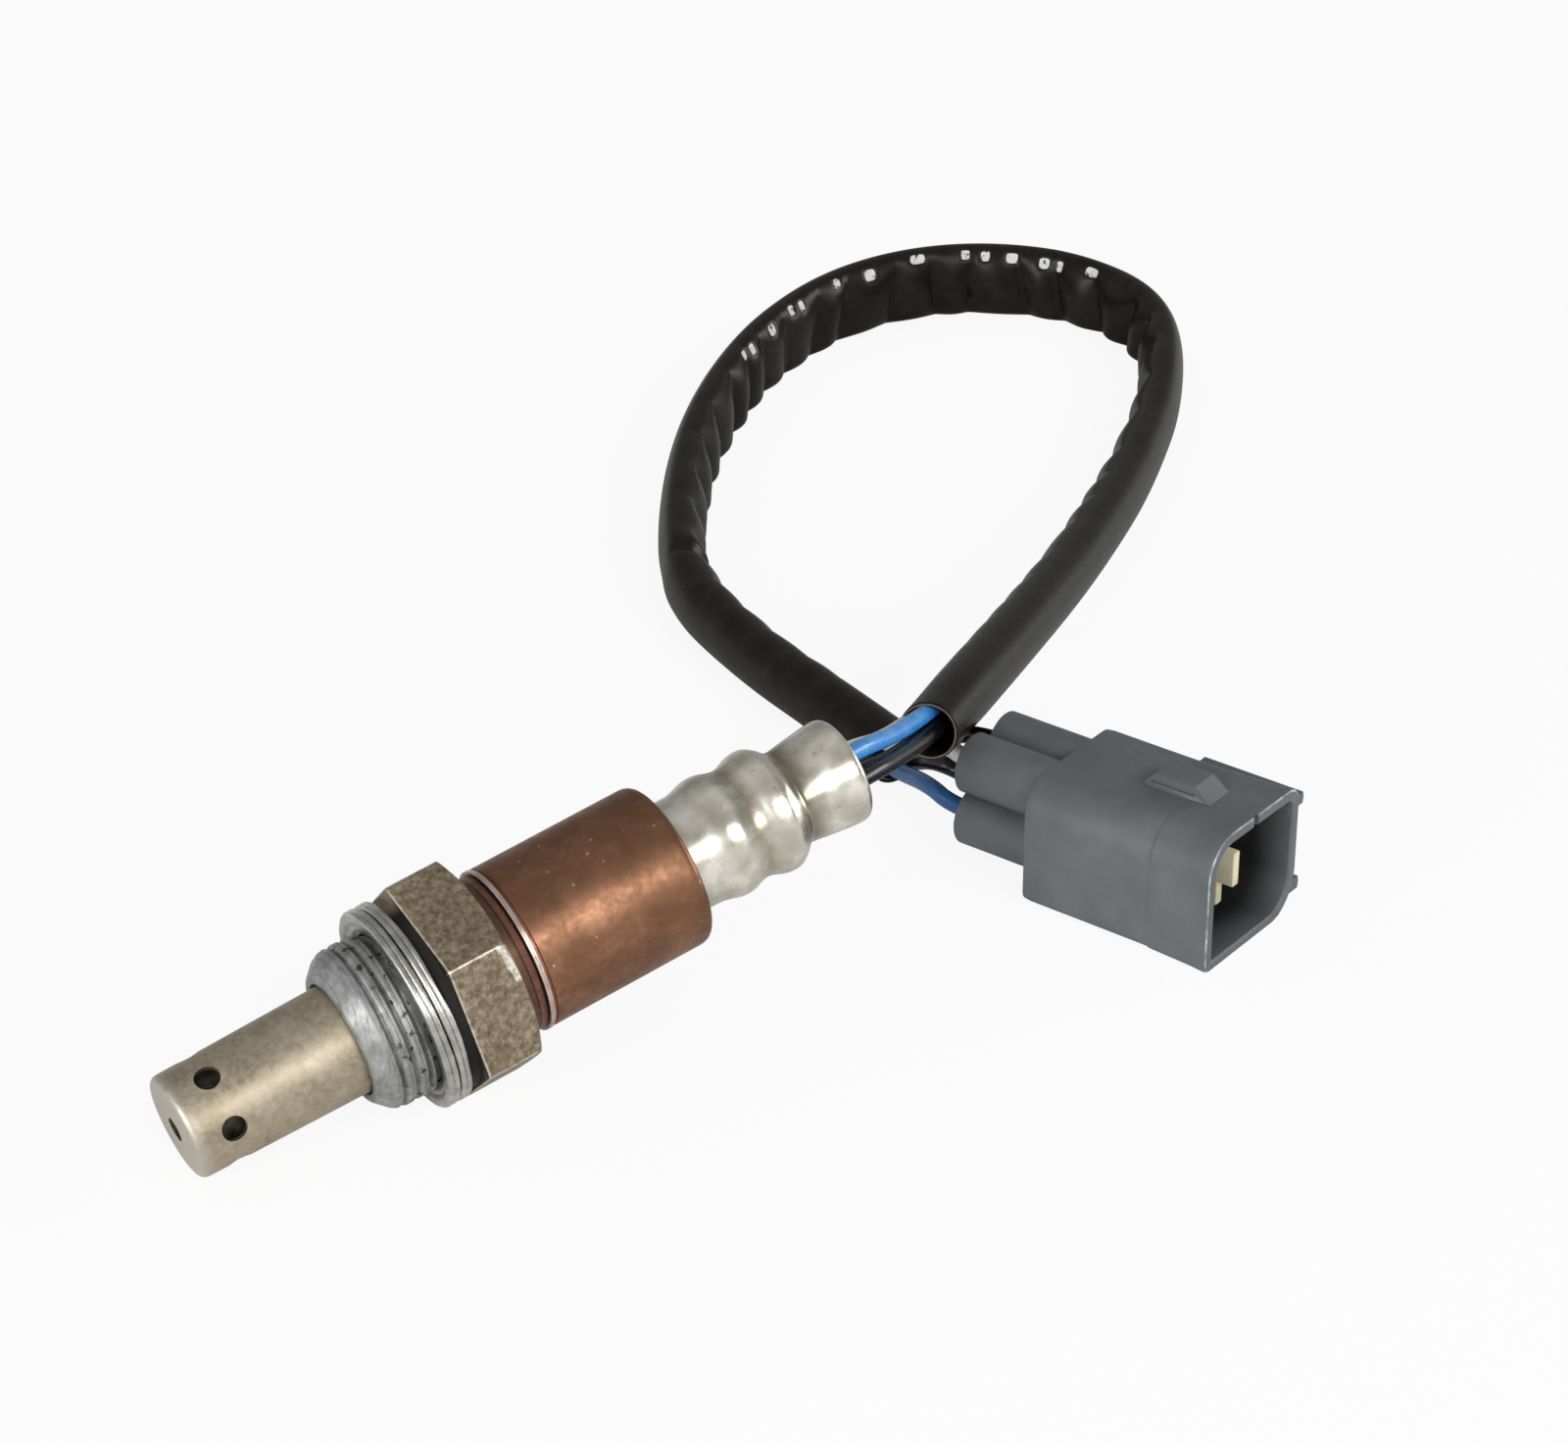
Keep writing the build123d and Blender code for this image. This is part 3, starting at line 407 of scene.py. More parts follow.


# PVC insulation, extruded: even colour, glossy skin with faint waves, and painted shade darkening it low down
# near the connector
def extruded_insulation(name, low, high, painted_shade_low):
    material, tree, (wave, dust) = new_material(name, (1.6, 3.0, 0.5), (0.25, 3.0, 0.6), IOR=1.53)
    place = add(tree, "ShaderNodeTexCoord")["Object"]
    height = add(tree, "ShaderNodeSeparateXYZ", [place])["Z"]
    tone = add(tree, "ShaderNodeValToRGB", [wave], ((0.3, low), (0.7, high)))["Color"]
    # painted shade: darker low down, fully below 9 mm, fading out by 15 mm
    tone = stained(tree, tone, painted_shade_low, height, 9 * MM, 15 * MM, 0.8, 0.0)
    return finished(material, tone, (dust, 0.20, 0.34), (wave, 0.05, 0.2), (0.35, 0.7))


# Soft black vinyl tube: semi-gloss, brownish where dust lies, and painted white glints where it is pinched
# hard
def vinyl_sleeve():
    material, tree, (dust, fine, blot) = new_material(
        "Soft vinyl sleeve, black", (3.0, 5.0, 0.62), (0.35, 4.0, 0.6), (0.9, 3.0, 0.6),
        IOR=1.34, Specular_IOR_Level=0.32)
    shades = ((0.32, "#100f0c"), (0.55, "#191713"), (0.75, "#26221c"))
    tone = add(tree, "ShaderNodeValToRGB", [dust], shades)["Color"]
    tone = stained(tree, tone, "#3a362e", fine, 0.64, 0.78, 0.0, 0.3)
    # painted highlight: white glints painted on the pinches of the far stretch
    painted_glint = add(tree, "ShaderNodeAttribute", attribute_name="painted_glint")["Fac"]
    broken = add(tree, "ShaderNodeMapRange", (blot, 0.36, 0.46, 0.0, 1.0))["Result"]
    tone = stained(tree, tone, "#dededa", painted_glint, 0.40, 0.52, 0.0, 0.85, broken)
    return finished(material, tone, (fine, 0.26, 0.40), (fine, 0.03, 0.3))


# Glass-filled nylon, moulded: slate grey, faintly frosted grain, near black down in the socket as painted
# shade
def slate_nylon():
    material, tree, (cloud, fine) = new_material(
        "Glass-filled nylon, slate grey", (6.0, 4.0, 0.6), (0.22, 3.0, 0.6), IOR=1.53)
    inside = add(tree, "ShaderNodeAttribute", attribute_name="inside")["Fac"]
    tone = add(tree, "ShaderNodeValToRGB", [cloud], ((0.3, "#54585b"), (0.7, "#616568")))["Color"]
    tone = stained(tree, tone, "#767b7e", fine, 0.62, 0.8, 0.0, 0.3)
    # painted shade: near black down in the socket
    tone = stained(tree, tone, "#0e1011", inside, 0.0, 1.0, 0.0, 0.92)
    return finished(material, tone, (fine, 0.42, 0.58), (fine, 0.02, 0.3))


# The same nylon where its edges are rubbed: paler and smoother, in broken stretches, partly wear and partly a
# painted edge highlight
def rubbed_and_highlit_nylon():
    material, tree, (rub,) = new_material("Glass-filled nylon, rubbed edge with painted highlight", (1.6, 4.0, 0.6), IOR=1.53)
    shades = ((0.38, "#6a6f71"), (0.52, "#8f9496"), (0.66, "#c3c7c8"))
    tone = add(tree, "ShaderNodeValToRGB", [rub], shades)["Color"]
    return finished(material, tone, (rub, 0.48, 0.30), (rub, 0.02, 0.3))


# The sensor's own pieces

def perforated_cup(materials):
    """Outer protector: a drawn cup, its holes cut by a ring of punches."""
    wall, front, rear, length, end_hole = 0.5, 5.7, 6.0, 23.4, 1.3
    outline = softened([(0.0, end_hole), (0.0, front), (19.0, rear), (length, rear), (length, rear - wall),
                        (19.0, rear - wall), (wall, front - wall), (wall, end_hole)],
                       [0.1, 1.0, 0, 0.1, 0.1, 0, 0.6, 0.1], 6)
    cup = lathed("protector_cup", outline, 144, 35)
    # Geometry Nodes: one punch, repeated round the cup
    tree = bpy.data.node_groups.new("Punched holes", "GeometryNodeTree")
    tree.interface.new_socket("Geometry", in_out="INPUT", socket_type="NodeSocketGeometry")
    sizes = {"Holes": ("NodeSocketInt", 6), "Hole radius": ("NodeSocketFloat", 1.35 * MM),
             "Hole place": ("NodeSocketFloat", 4.4 * MM),
             "First angle": ("NodeSocketFloat", math.radians(20))}
    for name, (kind, value) in sizes.items():
        socket = tree.interface.new_socket(name, in_out="INPUT", socket_type=kind)
        socket.default_value = value
    tree.interface.new_socket("Geometry", in_out="OUTPUT", socket_type="NodeSocketGeometry")
    given = tree.nodes.new("NodeGroupInput").outputs
    result = tree.nodes.new("NodeGroupOutput").inputs
    punch = add(tree, "GeometryNodeMeshCylinder", {"Vertices": 48, "Radius": given["Hole radius"],
                                                   "Depth": 5 * MM})["Mesh"]
    # a punch stands out along +X from the axis, which here is Z, and clear of its neighbours
    laid = add(tree, "GeometryNodeTransform", {"Geometry": punch, "Rotation": (0, math.pi / 2, 0),
                                               "Translation": (5.4 * MM, 0, 0)})[0]
    spots = add(tree, "GeometryNodePoints", {"Count": given["Holes"]})[0]
    index = add(tree, "GeometryNodeInputIndex")[0]
    share = add(tree, "ShaderNodeMath", (index, given["Holes"]), operation="DIVIDE")[0]
    turn = add(tree, "ShaderNodeMath", (share, 2 * math.pi, given["First angle"]),
               operation="MULTIPLY_ADD")[0]
    spun = add(tree, "ShaderNodeCombineXYZ", {"Z": turn})[0]
    ring = add(tree, "GeometryNodeInstanceOnPoints", {"Points": spots, "Instance": laid, "Rotation": spun})[0]
    lift = add(tree, "ShaderNodeCombineXYZ", {"Z": given["Hole place"]})[0]
    ring = add(tree, "GeometryNodeTransform", {"Geometry": ring, "Translation": lift})[0]
    real = add(tree, "GeometryNodeRealizeInstances", {"Geometry": ring})[0]
    # stand the punches on the sensor's own axis
    turned = add(tree, "GeometryNodeTransform", {"Geometry": real, "Rotation": (0, math.pi / 2 - LEAN, 0),
                                                 "Translation": tuple(TIP * MM)})[0]
    cut = add(tree, "GeometryNodeMeshBoolean", {"Mesh 1": given["Geometry"], "Mesh 2": turned},
              operation="DIFFERENCE")["Mesh"]
    coated = add(tree, "GeometryNodeSetMaterial", {"Geometry": cut, "Material": materials["cup"]})[0]
    tree.links.new(coated, result[0])
    cup.modifiers.new("holes", "NODES").node_group = tree
    cup = settled(cup)
    tidy(cup, 40, 1e-6)
    cup = bevelled(cup, 0.12, 50)
    tidy(cup, 40, 1e-6)
    cup.data.materials.clear()
    clad(cup, materials["cup"], materials["soot"])
    # soot lines the end hole and everything within
    for face in cup.data.polygons:
        place = face.center / MM - TIP
        along = place.dot(AXIS)
        radius = (place - AXIS * along).length
        within = along > 0.3 and radius < 5.3
        face.material_index = 1 if within or radius < end_hole + 0.03 else 0
    return cup


# The hexagon: half its width over flats, its ends, the angle of its lowest corner, and how far the
# cone of its rear chamfer comes in for each millimetre
HEX_HALF = 11.0
HEX_START, HEX_END = 29.1, 36.0
HEX_CORNER = 48.25
HEX_CHAMFER = 2.125
# The higher this is, the sharper are its edges
HEX_POWER = 90.0


def hexagon_radius(angle, t):
    """Radius of the rear-chamfered hexagon, its edges eased, and how worn the point is."""
    leans = [math.cos(math.radians(angle - (HEX_CORNER + 30 + 60 * side))) for side in range(6)]
    flats = sorted([lean / HEX_HALF for lean in leans if lean > 0.3], reverse=True)
    cone = 1 / (HEX_HALF + (HEX_END - t) * HEX_CHAMFER)
    terms = flats + [cone]
    top = max(terms)
    radius = top ** -1 * sum((term / top) ** HEX_POWER for term in terms) ** (-1 / HEX_POWER)
    # bare metal shows along the corners, on their rear tips and thinly along both ends of the flats
    beside = 1 - flats[1] / flats[0]
    corner = max(0.0, 1 - beside / 0.013) * (1.0 if cone <= flats[0] else 0.4)
    rear = max(0.0, 1 - abs(1 - cone / flats[0]) / 0.010)
    tip = max(0.0, 1 - beside / 0.05) * max(0.0, 1 - abs(1 - cone / flats[0]) / 0.035)
    front = max(0.0, 1 - abs(t - HEX_START - 0.1) / 0.12)
    # and on a scuff beside the lowest corner
    scuffed = 48.6 < angle % 360 < 68 and t > 34.6 + (angle % 360 - 48) * 0.035
    return radius, 1.0 if scuffed else min(1.0, max(corner, 0.3 * rear, tip, 0.75 * front))


THREAD_START, THREAD_END = 19.0, 24.9
THREAD_PITCH = 1.5
THREAD_RADIUS = 8.97


def thread_cut(angle, t, waves):
    """How deep the worn thread lies below its crest, and how much grease it holds there."""
    phase = ((t - THREAD_START) / THREAD_PITCH + angle / 360) % 1.0
    groove = 0.5 + 0.5 * math.cos(2 * math.pi * phase)
    start = min(max((t - 20.3) / 1.1, 0.0), 1.0)
    worn = 0.8 + 0.25 * sum(math.sin(math.radians(angle) * n + o) * a for a, o, n in waves) / 6
    # the flattened crest is nicked by a fine second line
    nick = math.exp(-((phase - 0.56) / 0.05) ** 2)
    return 0.46 * start * worn * groove ** 3.2 + 0.07 * start * nick, start * max(groove ** 6, 0.5 * nick)


def threaded_shell(materials):
    """Metal shell outside: nose, worn thread, relief, hexagon, neck, and its plain bore."""
    nose = softened([(23.4, 6.3), (19.05, 6.3), (THREAD_START, 7.1), (20.8, 8.85), (23.4, THREAD_RADIUS)],
                    [0, 0.15, 0.9, 1.7, 0], 8)[1:-1]
    seam = [(t, radius, "thread") for t, radius in nose]
    while seam[-1][0] < THREAD_END:
        seam.append((seam[-1][0] + 0.07, min(seam[-1][1] + 0.02, THREAD_RADIUS), "thread"))
    seam.append((25.05, 8.8, "thread"))
    # the relief under the gasket, and the flange before the hexagon
    seam += [(t, radius, "plain") for t, radius in
             ((25.65, 8.32), (26.2, 8.3), (27.95, 8.3), (28.0, 8.36), (28.0, 9.6), (28.0, 10.45),
              (28.12, 10.6), (29.05, 10.6), (HEX_START, 10.64))]
    # the hexagon's front edge is eased, and its rear chamfer has closer rings
    seam += [(HEX_START + place, eased, "hex") for place, eased in ((0.0, 0.16), (0.04, 0.06), (0.12, 0.01))]
    place = HEX_START + 0.25
    while place < HEX_END - 0.01:
        seam.append((place, 0.0, "hex"))
        place += 0.06 if place > 34.9 else 0.3
    seam.append((HEX_END, 0.0, "hex"))
    # the neck, and back through the bore
    seam += [(t, radius, "plain") for t, radius in
             ((36.03, 10.7), (36.04, 9.6), (36.0, 8.85), (36.05, 8.75), (38.35, 8.75), (38.4, 8.7),
              (38.4, 8.4), (40.8, 8.4), (40.8, 7.6), (43.2, 7.6), (43.2, 4.3), (42.4, 4.3),
              (42.4, 5.4), (27.0, 5.4), (27.0, 4.7), (24.0, 4.7), (24.0, 6.05), (21.0, 6.05))]
    angles = []
    for side in range(6):
        for share in range(48):
            fraction = share / 48
            # points crowd towards the corners of the hexagon
            eased = fraction - 0.13 * math.sin(2 * math.pi * fraction)
            angles.append(HEX_CORNER + 60 * (side + eased))
    points, faces, slots, wear, root = [], [], [], [], []
    wander = random.Random(4)
    waves = [(wander.uniform(0.6, 2.2), wander.uniform(0, 6.3), wander.randint(1, 5)) for _ in range(6)]
    for t, radius, kind in seam:
        for angle in angles:
            r, worn, greasy = radius, 0.0, 0.0
            if kind == "hex":
                r, worn = hexagon_radius(angle, t)
                r -= radius
            elif kind == "thread":
                cut, greasy = thread_cut(angle, t, waves)
                r -= cut
            points.append(on_sensor(t, r, angle))
            wear.append(worn)
            root.append(greasy)
    for row, (t, _, kind) in enumerate(seam):
        following = (row + 1) % len(seam)
        middle = (t + seam[following][0]) / 2
        kinds = (kind, seam[following][2])
        if "thread" in kinds or middle < 26.5:
            slot = 0
        elif kinds == ("hex", "hex"):
            slot = 2
        else:
            # the relief and the flange before the hexagon take the collar steel with its painted shade
            slot = 1 if middle < 30 else 3
        faces += ring_faces(row, following, len(angles))
        slots += [slot] * len(angles)
    shell = mesh_piece("threaded_shell", points, faces, slots, 50)
    marked(shell, "wear", wear)
    marked(shell, "root", root)
    return clad(shell, materials["thread"], materials["collar_painted_shade"], materials["hexagon"], materials["neck"])


def folded_gasket(materials):
    """Crush gasket: one folded sheet, its folds pressed unevenly, each creased along its rim."""
    half_sheet, front, inner, outer = 0.19, 25.4, 9.25, 11.0
    rear = front + 2.385
    # the two folds are pressed nearly together
    first, second = front + 0.97, front + 1.42
    creases = ((front + first) / 2, (second + rear) / 2)
    # the front lip turns in, with two slight bends
    lip = [(front + 0.62, 8.78), (front + 0.26, 9.2), (front + 0.26, 9.75), (front, 10.15)]
    path = lip + [(front, outer), (first, outer), (first, inner), (second, inner), (second, outer),
                  (rear, outer), (rear, inner)]
    centre = [Vector(path[0])]
    for last, point, following in zip(path, path[1:], path[2:]):
        bend = 0.1 if point in lip[2:] else 0.22
        before = (Vector(last) - Vector(point)).normalized() * bend
        after = (Vector(following) - Vector(point)).normalized() * bend
        if last[1] == outer == point[1]:
            # points along the rim, for its crease
            start, end = centre[-1], Vector(point) + before
            centre += [start + (end - start) * step / 10 for step in range(1, 10)]
        for step in range(9):
            share = step / 8
            centre.append(Vector(point) + before * (1 - share) ** 2 + after * share ** 2)
    centre.append(Vector(path[-1]))
    left, right = [], []
    for index, point in enumerate(centre):
        ahead = (centre[min(index + 1, len(centre) - 1)] - centre[max(index - 1, 0)]).normalized()
        aside = Vector((-ahead.y, ahead.x)) * half_sheet
        left.append(tuple(point + aside))
        right.append(tuple(point - aside))

    def pressed(t, angle):
        swing = math.radians(angle)
        crease = sum(math.exp(-((t - place) / 0.09) ** 2) for place in creases)
        return 0.05 * math.sin(3 * swing + 1.0 + t) + 0.03 * math.sin(7 * swing + 2.2 * t) - 0.16 * crease

    return clad(lathed("folded_gasket", left + right[::-1], 144, 50, None, pressed), materials["gasket"])


def cover_barrel(materials):
    """Outer cover: bright bead, shadow groove, barrel and a turned-in rear edge."""
    bore, bead, barrel, rear_hole, end = 8.48, 9.15, 9.08, 6.32, 58.4
    outline = softened([(38.4, bore), (38.4, bead), (38.62, bead), (38.68, 9.06), (38.74, bead),
                        (38.95, bead), (39.0, 8.86), (39.28, 8.86), (39.32, barrel), (end, barrel),
                        (end, rear_hole), (end - 0.6, rear_hole), (end - 0.6, bore)],
                       [0.05, 0.14, 0.05, 0.03, 0.05, 0.14, 0.06, 0.06, 0.16, 1.7, 0.12, 0.1, 0.9], 6)

    def bright(t, radius):
        # the bead, rubbed bright, and the turn of the rear round, a painted highlight
        return 1 if (t < 39.0 and radius > 8.7) or (t > end - 0.3 and 7.3 < radius < 8.3) else 0

    return clad(lathed("cover_barrel", outline, 192, 40, bright), materials["cover"], materials["bead"])


def crimped_tail(materials):
    """Tail tube: smooth bulges between crimps, flats where the jaws pressed, rolled lip."""
    skin = [(60.6, 6.2), (61.6, 6.24), (62.7, 6.5), (63.6, 6.76), (64.4, 6.82), (65.2, 6.74), (66.2, 6.42),
            (67.1, 6.28), (68.0, 6.4), (69.0, 6.78), (69.8, 6.94), (70.3, 6.95), (70.9, 6.86), (71.8, 6.3),
            (72.6, 5.56), (73.2, 5.35), (74.0, 5.38), (75.2, 5.52), (76.8, 5.72), (78.2, 5.88), (79.2, 5.95),
            (79.8, 5.86), (80.15, 5.6), (80.3, 5.25), (80.2, 5.02)]
    # a smooth curve through these points
    smooth = []
    for index in range(len(skin) - 1):
        p0, p1 = skin[max(index - 1, 0)], skin[index]
        p2, p3 = skin[index + 1], skin[min(index + 2, len(skin) - 1)]
        for u in (0, 1 / 3, 2 / 3):
            smooth.append(tuple(0.5 * (2 * b + (c - a) * u + (2 * a - 5 * b + 4 * c - d) * u * u
                                       + (3 * b - a - 3 * c + d) * u ** 3)
                                for a, b, c, d in zip(p0, p1, p2, p3)))
    smooth.append(skin[-1])
    foot = [(56.2, 8.3), (56.65, 8.3), (56.65, 6.35), (56.8, 6.2)]
    inside = [(t - 0.05, max(r - 0.45, 4.6)) for t, r in reversed(smooth[:-9])]
    outline = foot + smooth + [(79.7, 5.0), (79.2, 5.3)] + inside + [(56.2, 5.75)]

    def jaws(t, angle):
        # the crimp jaws leave faint flats round the two grooves
        for middle, width, depth in ((67.1, 1.1, 0.06), (73.3, 1.3, 0.08)):
            if abs(t - middle) < 2 * width:
                fall = math.exp(-((t - middle) / width) ** 2)
                return -depth * fall * (0.5 + 0.5 * math.cos(math.radians(8 * angle)))
        return 0.0

    return clad(lathed("crimped_tail", outline, 192, 40, None, jaws), materials["tail"])


# Cords

# Control points of the sleeve's middle line, mouth first, in millimetres. On the ground its
# flattened stretches stand higher than the plain tube, so their points are lifted.
SLEEVE_ROUTE = [(58.0, 12.9, 16.8), (78, 29.5, 13.2), (103, 51, 8.2), (129, 74.5, 4.8), (151, 97.5, 4.2),
                (160.4, 114.2, 4.8), (157.0, 130.6, 5.0), (143.7, 141.6, 5.1), (125.8, 142.4, 5.1),
                (106.3, 132.5, 5.1), (88.3, 116.2, 4.9), (74.5, 98.0, 4.6), (63.8, 78.6, 4.2),
                (62.7, 59.2, 3.9), (64, 43.4, 3.7), (64.7, 30, 3.65)]
# Where each lead turns between the sleeve and the connector
LEAD_TURNS = {"blue": (61.3, 17.6, 6.8), "black_a": (63.9, 20.5, 7.9),
              "black_b": (66.7, 22.1, 9.4), "white": (66.6, 21.0, 9.0)}
# How far from the axis, and at which angle, each leaves the grommet
LEAD_CIRCLE = 2.3
LEAD_ANGLES = {"blue": 20, "black_a": 110, "black_b": 200, "white": 290}
# In the open the four lie close together, the white one under the blue
BUNDLE_RADIUS = 1.6
BUNDLE_ANGLES = {"blue": 15, "black_a": 100, "black_b": 185, "white": 262}
# Where the sleeve is flat they stand one above another, this far from its middle line
STACK = {"blue": 3.0, "white": 1.0, "black_a": -1.0, "black_b": -3.0}
STACKED = (0, 0, 0, 0.3, 0.7, 0.9, 1, 1, 1, 1, 1, 0.9, 0.6, 0.3, 0, 0)
# Where each one enters the connector, across it and up
CAVITIES = {"blue": (5.55, 5.0), "black_a": (11.75, 5.0), "black_b": (11.75, 11.6), "white": (5.55, 11.6)}


def smooth_line(name, points, steps=14):
    """Points in millimetres along one NURBS spline with these control points."""
    curve = bpy.data.curves.new(name, "CURVE")
    curve.dimensions = "3D"
    curve.resolution_u = steps
    spline = curve.splines.new("NURBS")
    spline.points.add(len(points) - 1)
    for target, point in zip(spline.points, points):
        target.co = (*(Vector(point) * MM), 1.0)
    spline.order_u = 3
    spline.use_endpoint_u = True
    holder = bpy.data.objects.new(name, curve)
    bpy.context.scene.collection.objects.link(holder)
    mesh = bpy.data.meshes.new_from_object(holder.evaluated_get(bpy.context.evaluated_depsgraph_get()))
    line = [vertex.co / MM for vertex in mesh.vertices]
    bpy.data.objects.remove(holder)
    return line


def even_steps(line, step):
    """The same line with points an even distance apart, and how far along each is."""
    lengths = [0.0]
    for first, second in zip(line, line[1:]):
        lengths.append(lengths[-1] + (second - first).length)
    total = lengths[-1]
    count = max(int(total / step), 2)
    result, places, cursor = [], [], 0
    for index in range(count + 1):
        target = total * index / count
        while cursor < len(lengths) - 2 and lengths[cursor + 1] < target:
            cursor += 1
        share = (target - lengths[cursor]) / max(lengths[cursor + 1] - lengths[cursor], 1e-9)
        result.append(line[cursor].lerp(line[cursor + 1], share))
        places.append(target)
    return result, places


def level_frames(line):
    """Travel, left and up directions at each point of a line that never runs upright."""
    frames = []
    for index in range(len(line)):
        ahead = (line[min(index + 1, len(line) - 1)] - line[max(index - 1, 0)]).normalized()
        left = Vector((0, 0, 1)).cross(ahead).normalized()
        frames.append((ahead, left, ahead.cross(left).normalized()))
    return frames


def swept(name, rings, materials=(), slots=None, sharp=60.0, closed_ends=True):
    """Join rings of points into a tube."""
    columns, last = len(rings[0]), len(rings) - 1
    slots = slots or [0] * last
    faces, indices = [], []
    for row in range(last):
        faces += ring_faces(row, row + 1, columns)
        indices += [slots[row]] * columns
    if closed_ends:
        faces += [tuple(range(columns)), tuple(last * columns + index for index in range(columns))]
        indices += [slots[0], slots[-1]]
    points = [point for ring in rings for point in ring]
    return clad(mesh_piece(name, points, faces, indices, sharp), *materials)


def between(table, place):
    """Read the values at a place from a table of (place, value, ...) rows, eased between rows."""
    if place <= table[0][0]:
        return table[0][1:]
    for first, second in zip(table, table[1:]):
        if place <= second[0]:
            share = (place - first[0]) / (second[0] - first[0])
            share = share * share * (3 - 2 * share)
            return tuple(a + (b - a) * share for a, b in zip(first[1:], second[1:]))
    return table[-1][1:]


# Along the sleeve, in millimetres from its mouth: width, height and how deeply its inner side pleats
SLEEVE_SHAPE = [(0, 6.7, 6.7, 0.0), (14, 6.9, 7.3, 0.05), (55, 6.6, 7.4, 0.4), (85, 6.3, 7.6, 0.95),
                (110, 5.8, 8.2, 0.9), (128, 5.2, 9.2, 1.25), (152, 4.8, 9.8, 1.2), (164, 4.5, 10.2, 0.8),
                (216, 4.5, 10.2, 0.8), (230, 4.8, 9.8, 1.15), (262, 5.1, 9.2, 1.3), (280, 5.3, 8.8, 1.1),
                (287, 6.2, 8.0, 0.7), (305, 6.5, 7.5, 0.5), (335, 7.2, 7.2, 0.0)]
# Places and half lengths of the small pinches along the upper inner shoulder of the far stretch, each also
# carrying a painted glint
PINCHES = ((156.0, 1.1), (161.5, 0.6), (164.0, 0.8), (169.0, 0.9), (173.0, 0.7), (176.0, 0.7), (183.5, 1.3),
           (192.0, 1.0), (198.5, 0.7), (207.5, 0.6), (210.0, 0.7), (216.5, 0.9), (223.5, 0.7), (226.0, 0.8))
PINCH_DEPTH = 0.3
# The one hard kink, where the flattened stretch turns under the round one
KINK, KINK_DEPTH = 283.0, 0.9
# The tube just clears the ground
CLEARANCE = 0.06


def wrinkled_sleeve(materials):
    """Vinyl sleeve: round at its ends, flattened and pleated on the inside of its bends."""
    line, places = even_steps(smooth_line("sleeve_line", SLEEVE_ROUTE), 0.42)
    frames = level_frames(line)
    chance = random.Random(11)
    # each pleat: where its valley is, how deep beside its neighbours, and how it leans
    valleys, spot = [], 14.0
    while spot < places[-1] - 8:
        valleys.append((spot, chance.uniform(0.6, 1.15), chance.uniform(-1.6, 1.6)))
        spot += chance.uniform(5.8, 9.4) * (1.5 if 50 < spot < 125 else 1.0)
    pinches = [(where, reach, chance.uniform(32, 44)) for where, reach in PINCHES]
    columns = 60
    rings, painted_glints = [], []
    for point, place, (_, left, up) in zip(line, places, frames):
        width, height, deep = between(SLEEVE_SHAPE, place)
        flat = (width / height) ** 0.35
        ring = []
        for index in range(columns):
            angle = 360 * index / columns
            across, over = math.sin(math.radians(angle)), math.cos(math.radians(angle))
            side = math.copysign(abs(across) ** flat, across) * width / 2
            rise = math.copysign(abs(over) ** 0.96, over) * height / 2
            # pleats dent the inner side, and below it each lobe bulges into a small scallop
            inner = math.exp(-((angle - 102) / 62) ** 2) if angle < 240 else 0.0
            lower = deep * 0.9 * math.exp(-((angle - 148) / 26) ** 2)
            dent, lobe = 0.0, 0.0
            if deep and inner > 0.02:
                for (start, depth, lean), (end, _, next_lean) in zip(valleys, valleys[1:]):
                    low, high = start + lean * over, end + next_lean * over
                    if low <= place < high:
                        lobe = math.sin(math.pi * (place - low) / (high - low)) ** 0.85
                        dent = deep * inner * (0.85 * depth * (1 - lobe) - 0.7 * lobe)
                        break
            nip = max(math.exp(-((place - where) / reach) ** 4 - ((angle - facing) / 13) ** 4)
                      for where, reach, facing in pinches)
            # how strongly each point is pinched, which is also the strength of its painted glint
            painted_glints.append(nip)
            turned = (angle + 180) % 360 - 180
            kink = KINK_DEPTH * math.exp(-(place - KINK) ** 2) * math.exp(-((turned - 45) / 70) ** 2)
            nip = nip * PINCH_DEPTH + kink
            side += lower * lobe - (dent + nip) * max(across, 0.3)
            rise -= (0.45 * dent + nip) * max(over, 0.0)
            out = point + left * side + up * rise
            out.z = max(out.z, CLEARANCE)
            ring.append(out)
        rings.append(ring)

    def collar(at, ahead, scale, shift):
        return [line[at] + (spot - line[at]) * scale + ahead * shift for spot in rings[at]]

    # both ends: the wall's cut edge, and the start of the bore
    first, last = frames[0][0], -frames[-1][0]
    opening = [collar(48, first, 0.84, 0.0), collar(10, first, 0.84, 0.0), collar(0, first, 0.85, 0.12),
               collar(0, first, 0.905, -0.05), collar(0, first, 0.955, -0.05)]
    closing = [collar(-1, last, 0.955, -0.05), collar(-1, last, 0.905, -0.05), collar(-1, last, 0.85, 0.12),
               collar(-11, last, 0.84, 0.0), collar(-49, last, 0.84, 0.0)]
    # only the mouth's cut edge, a thin line, shows dusty brown
    slots = [0, 0, 0, 1] + [0] * (len(rings) + len(closing))
    sleeve = swept("vinyl_sleeve", opening + rings + closing, materials, slots, 75)
    unpinched = [0.0] * len(opening) * columns
    marked(sleeve, "painted_glint", unpinched + painted_glints + unpinched)
    return sleeve, line


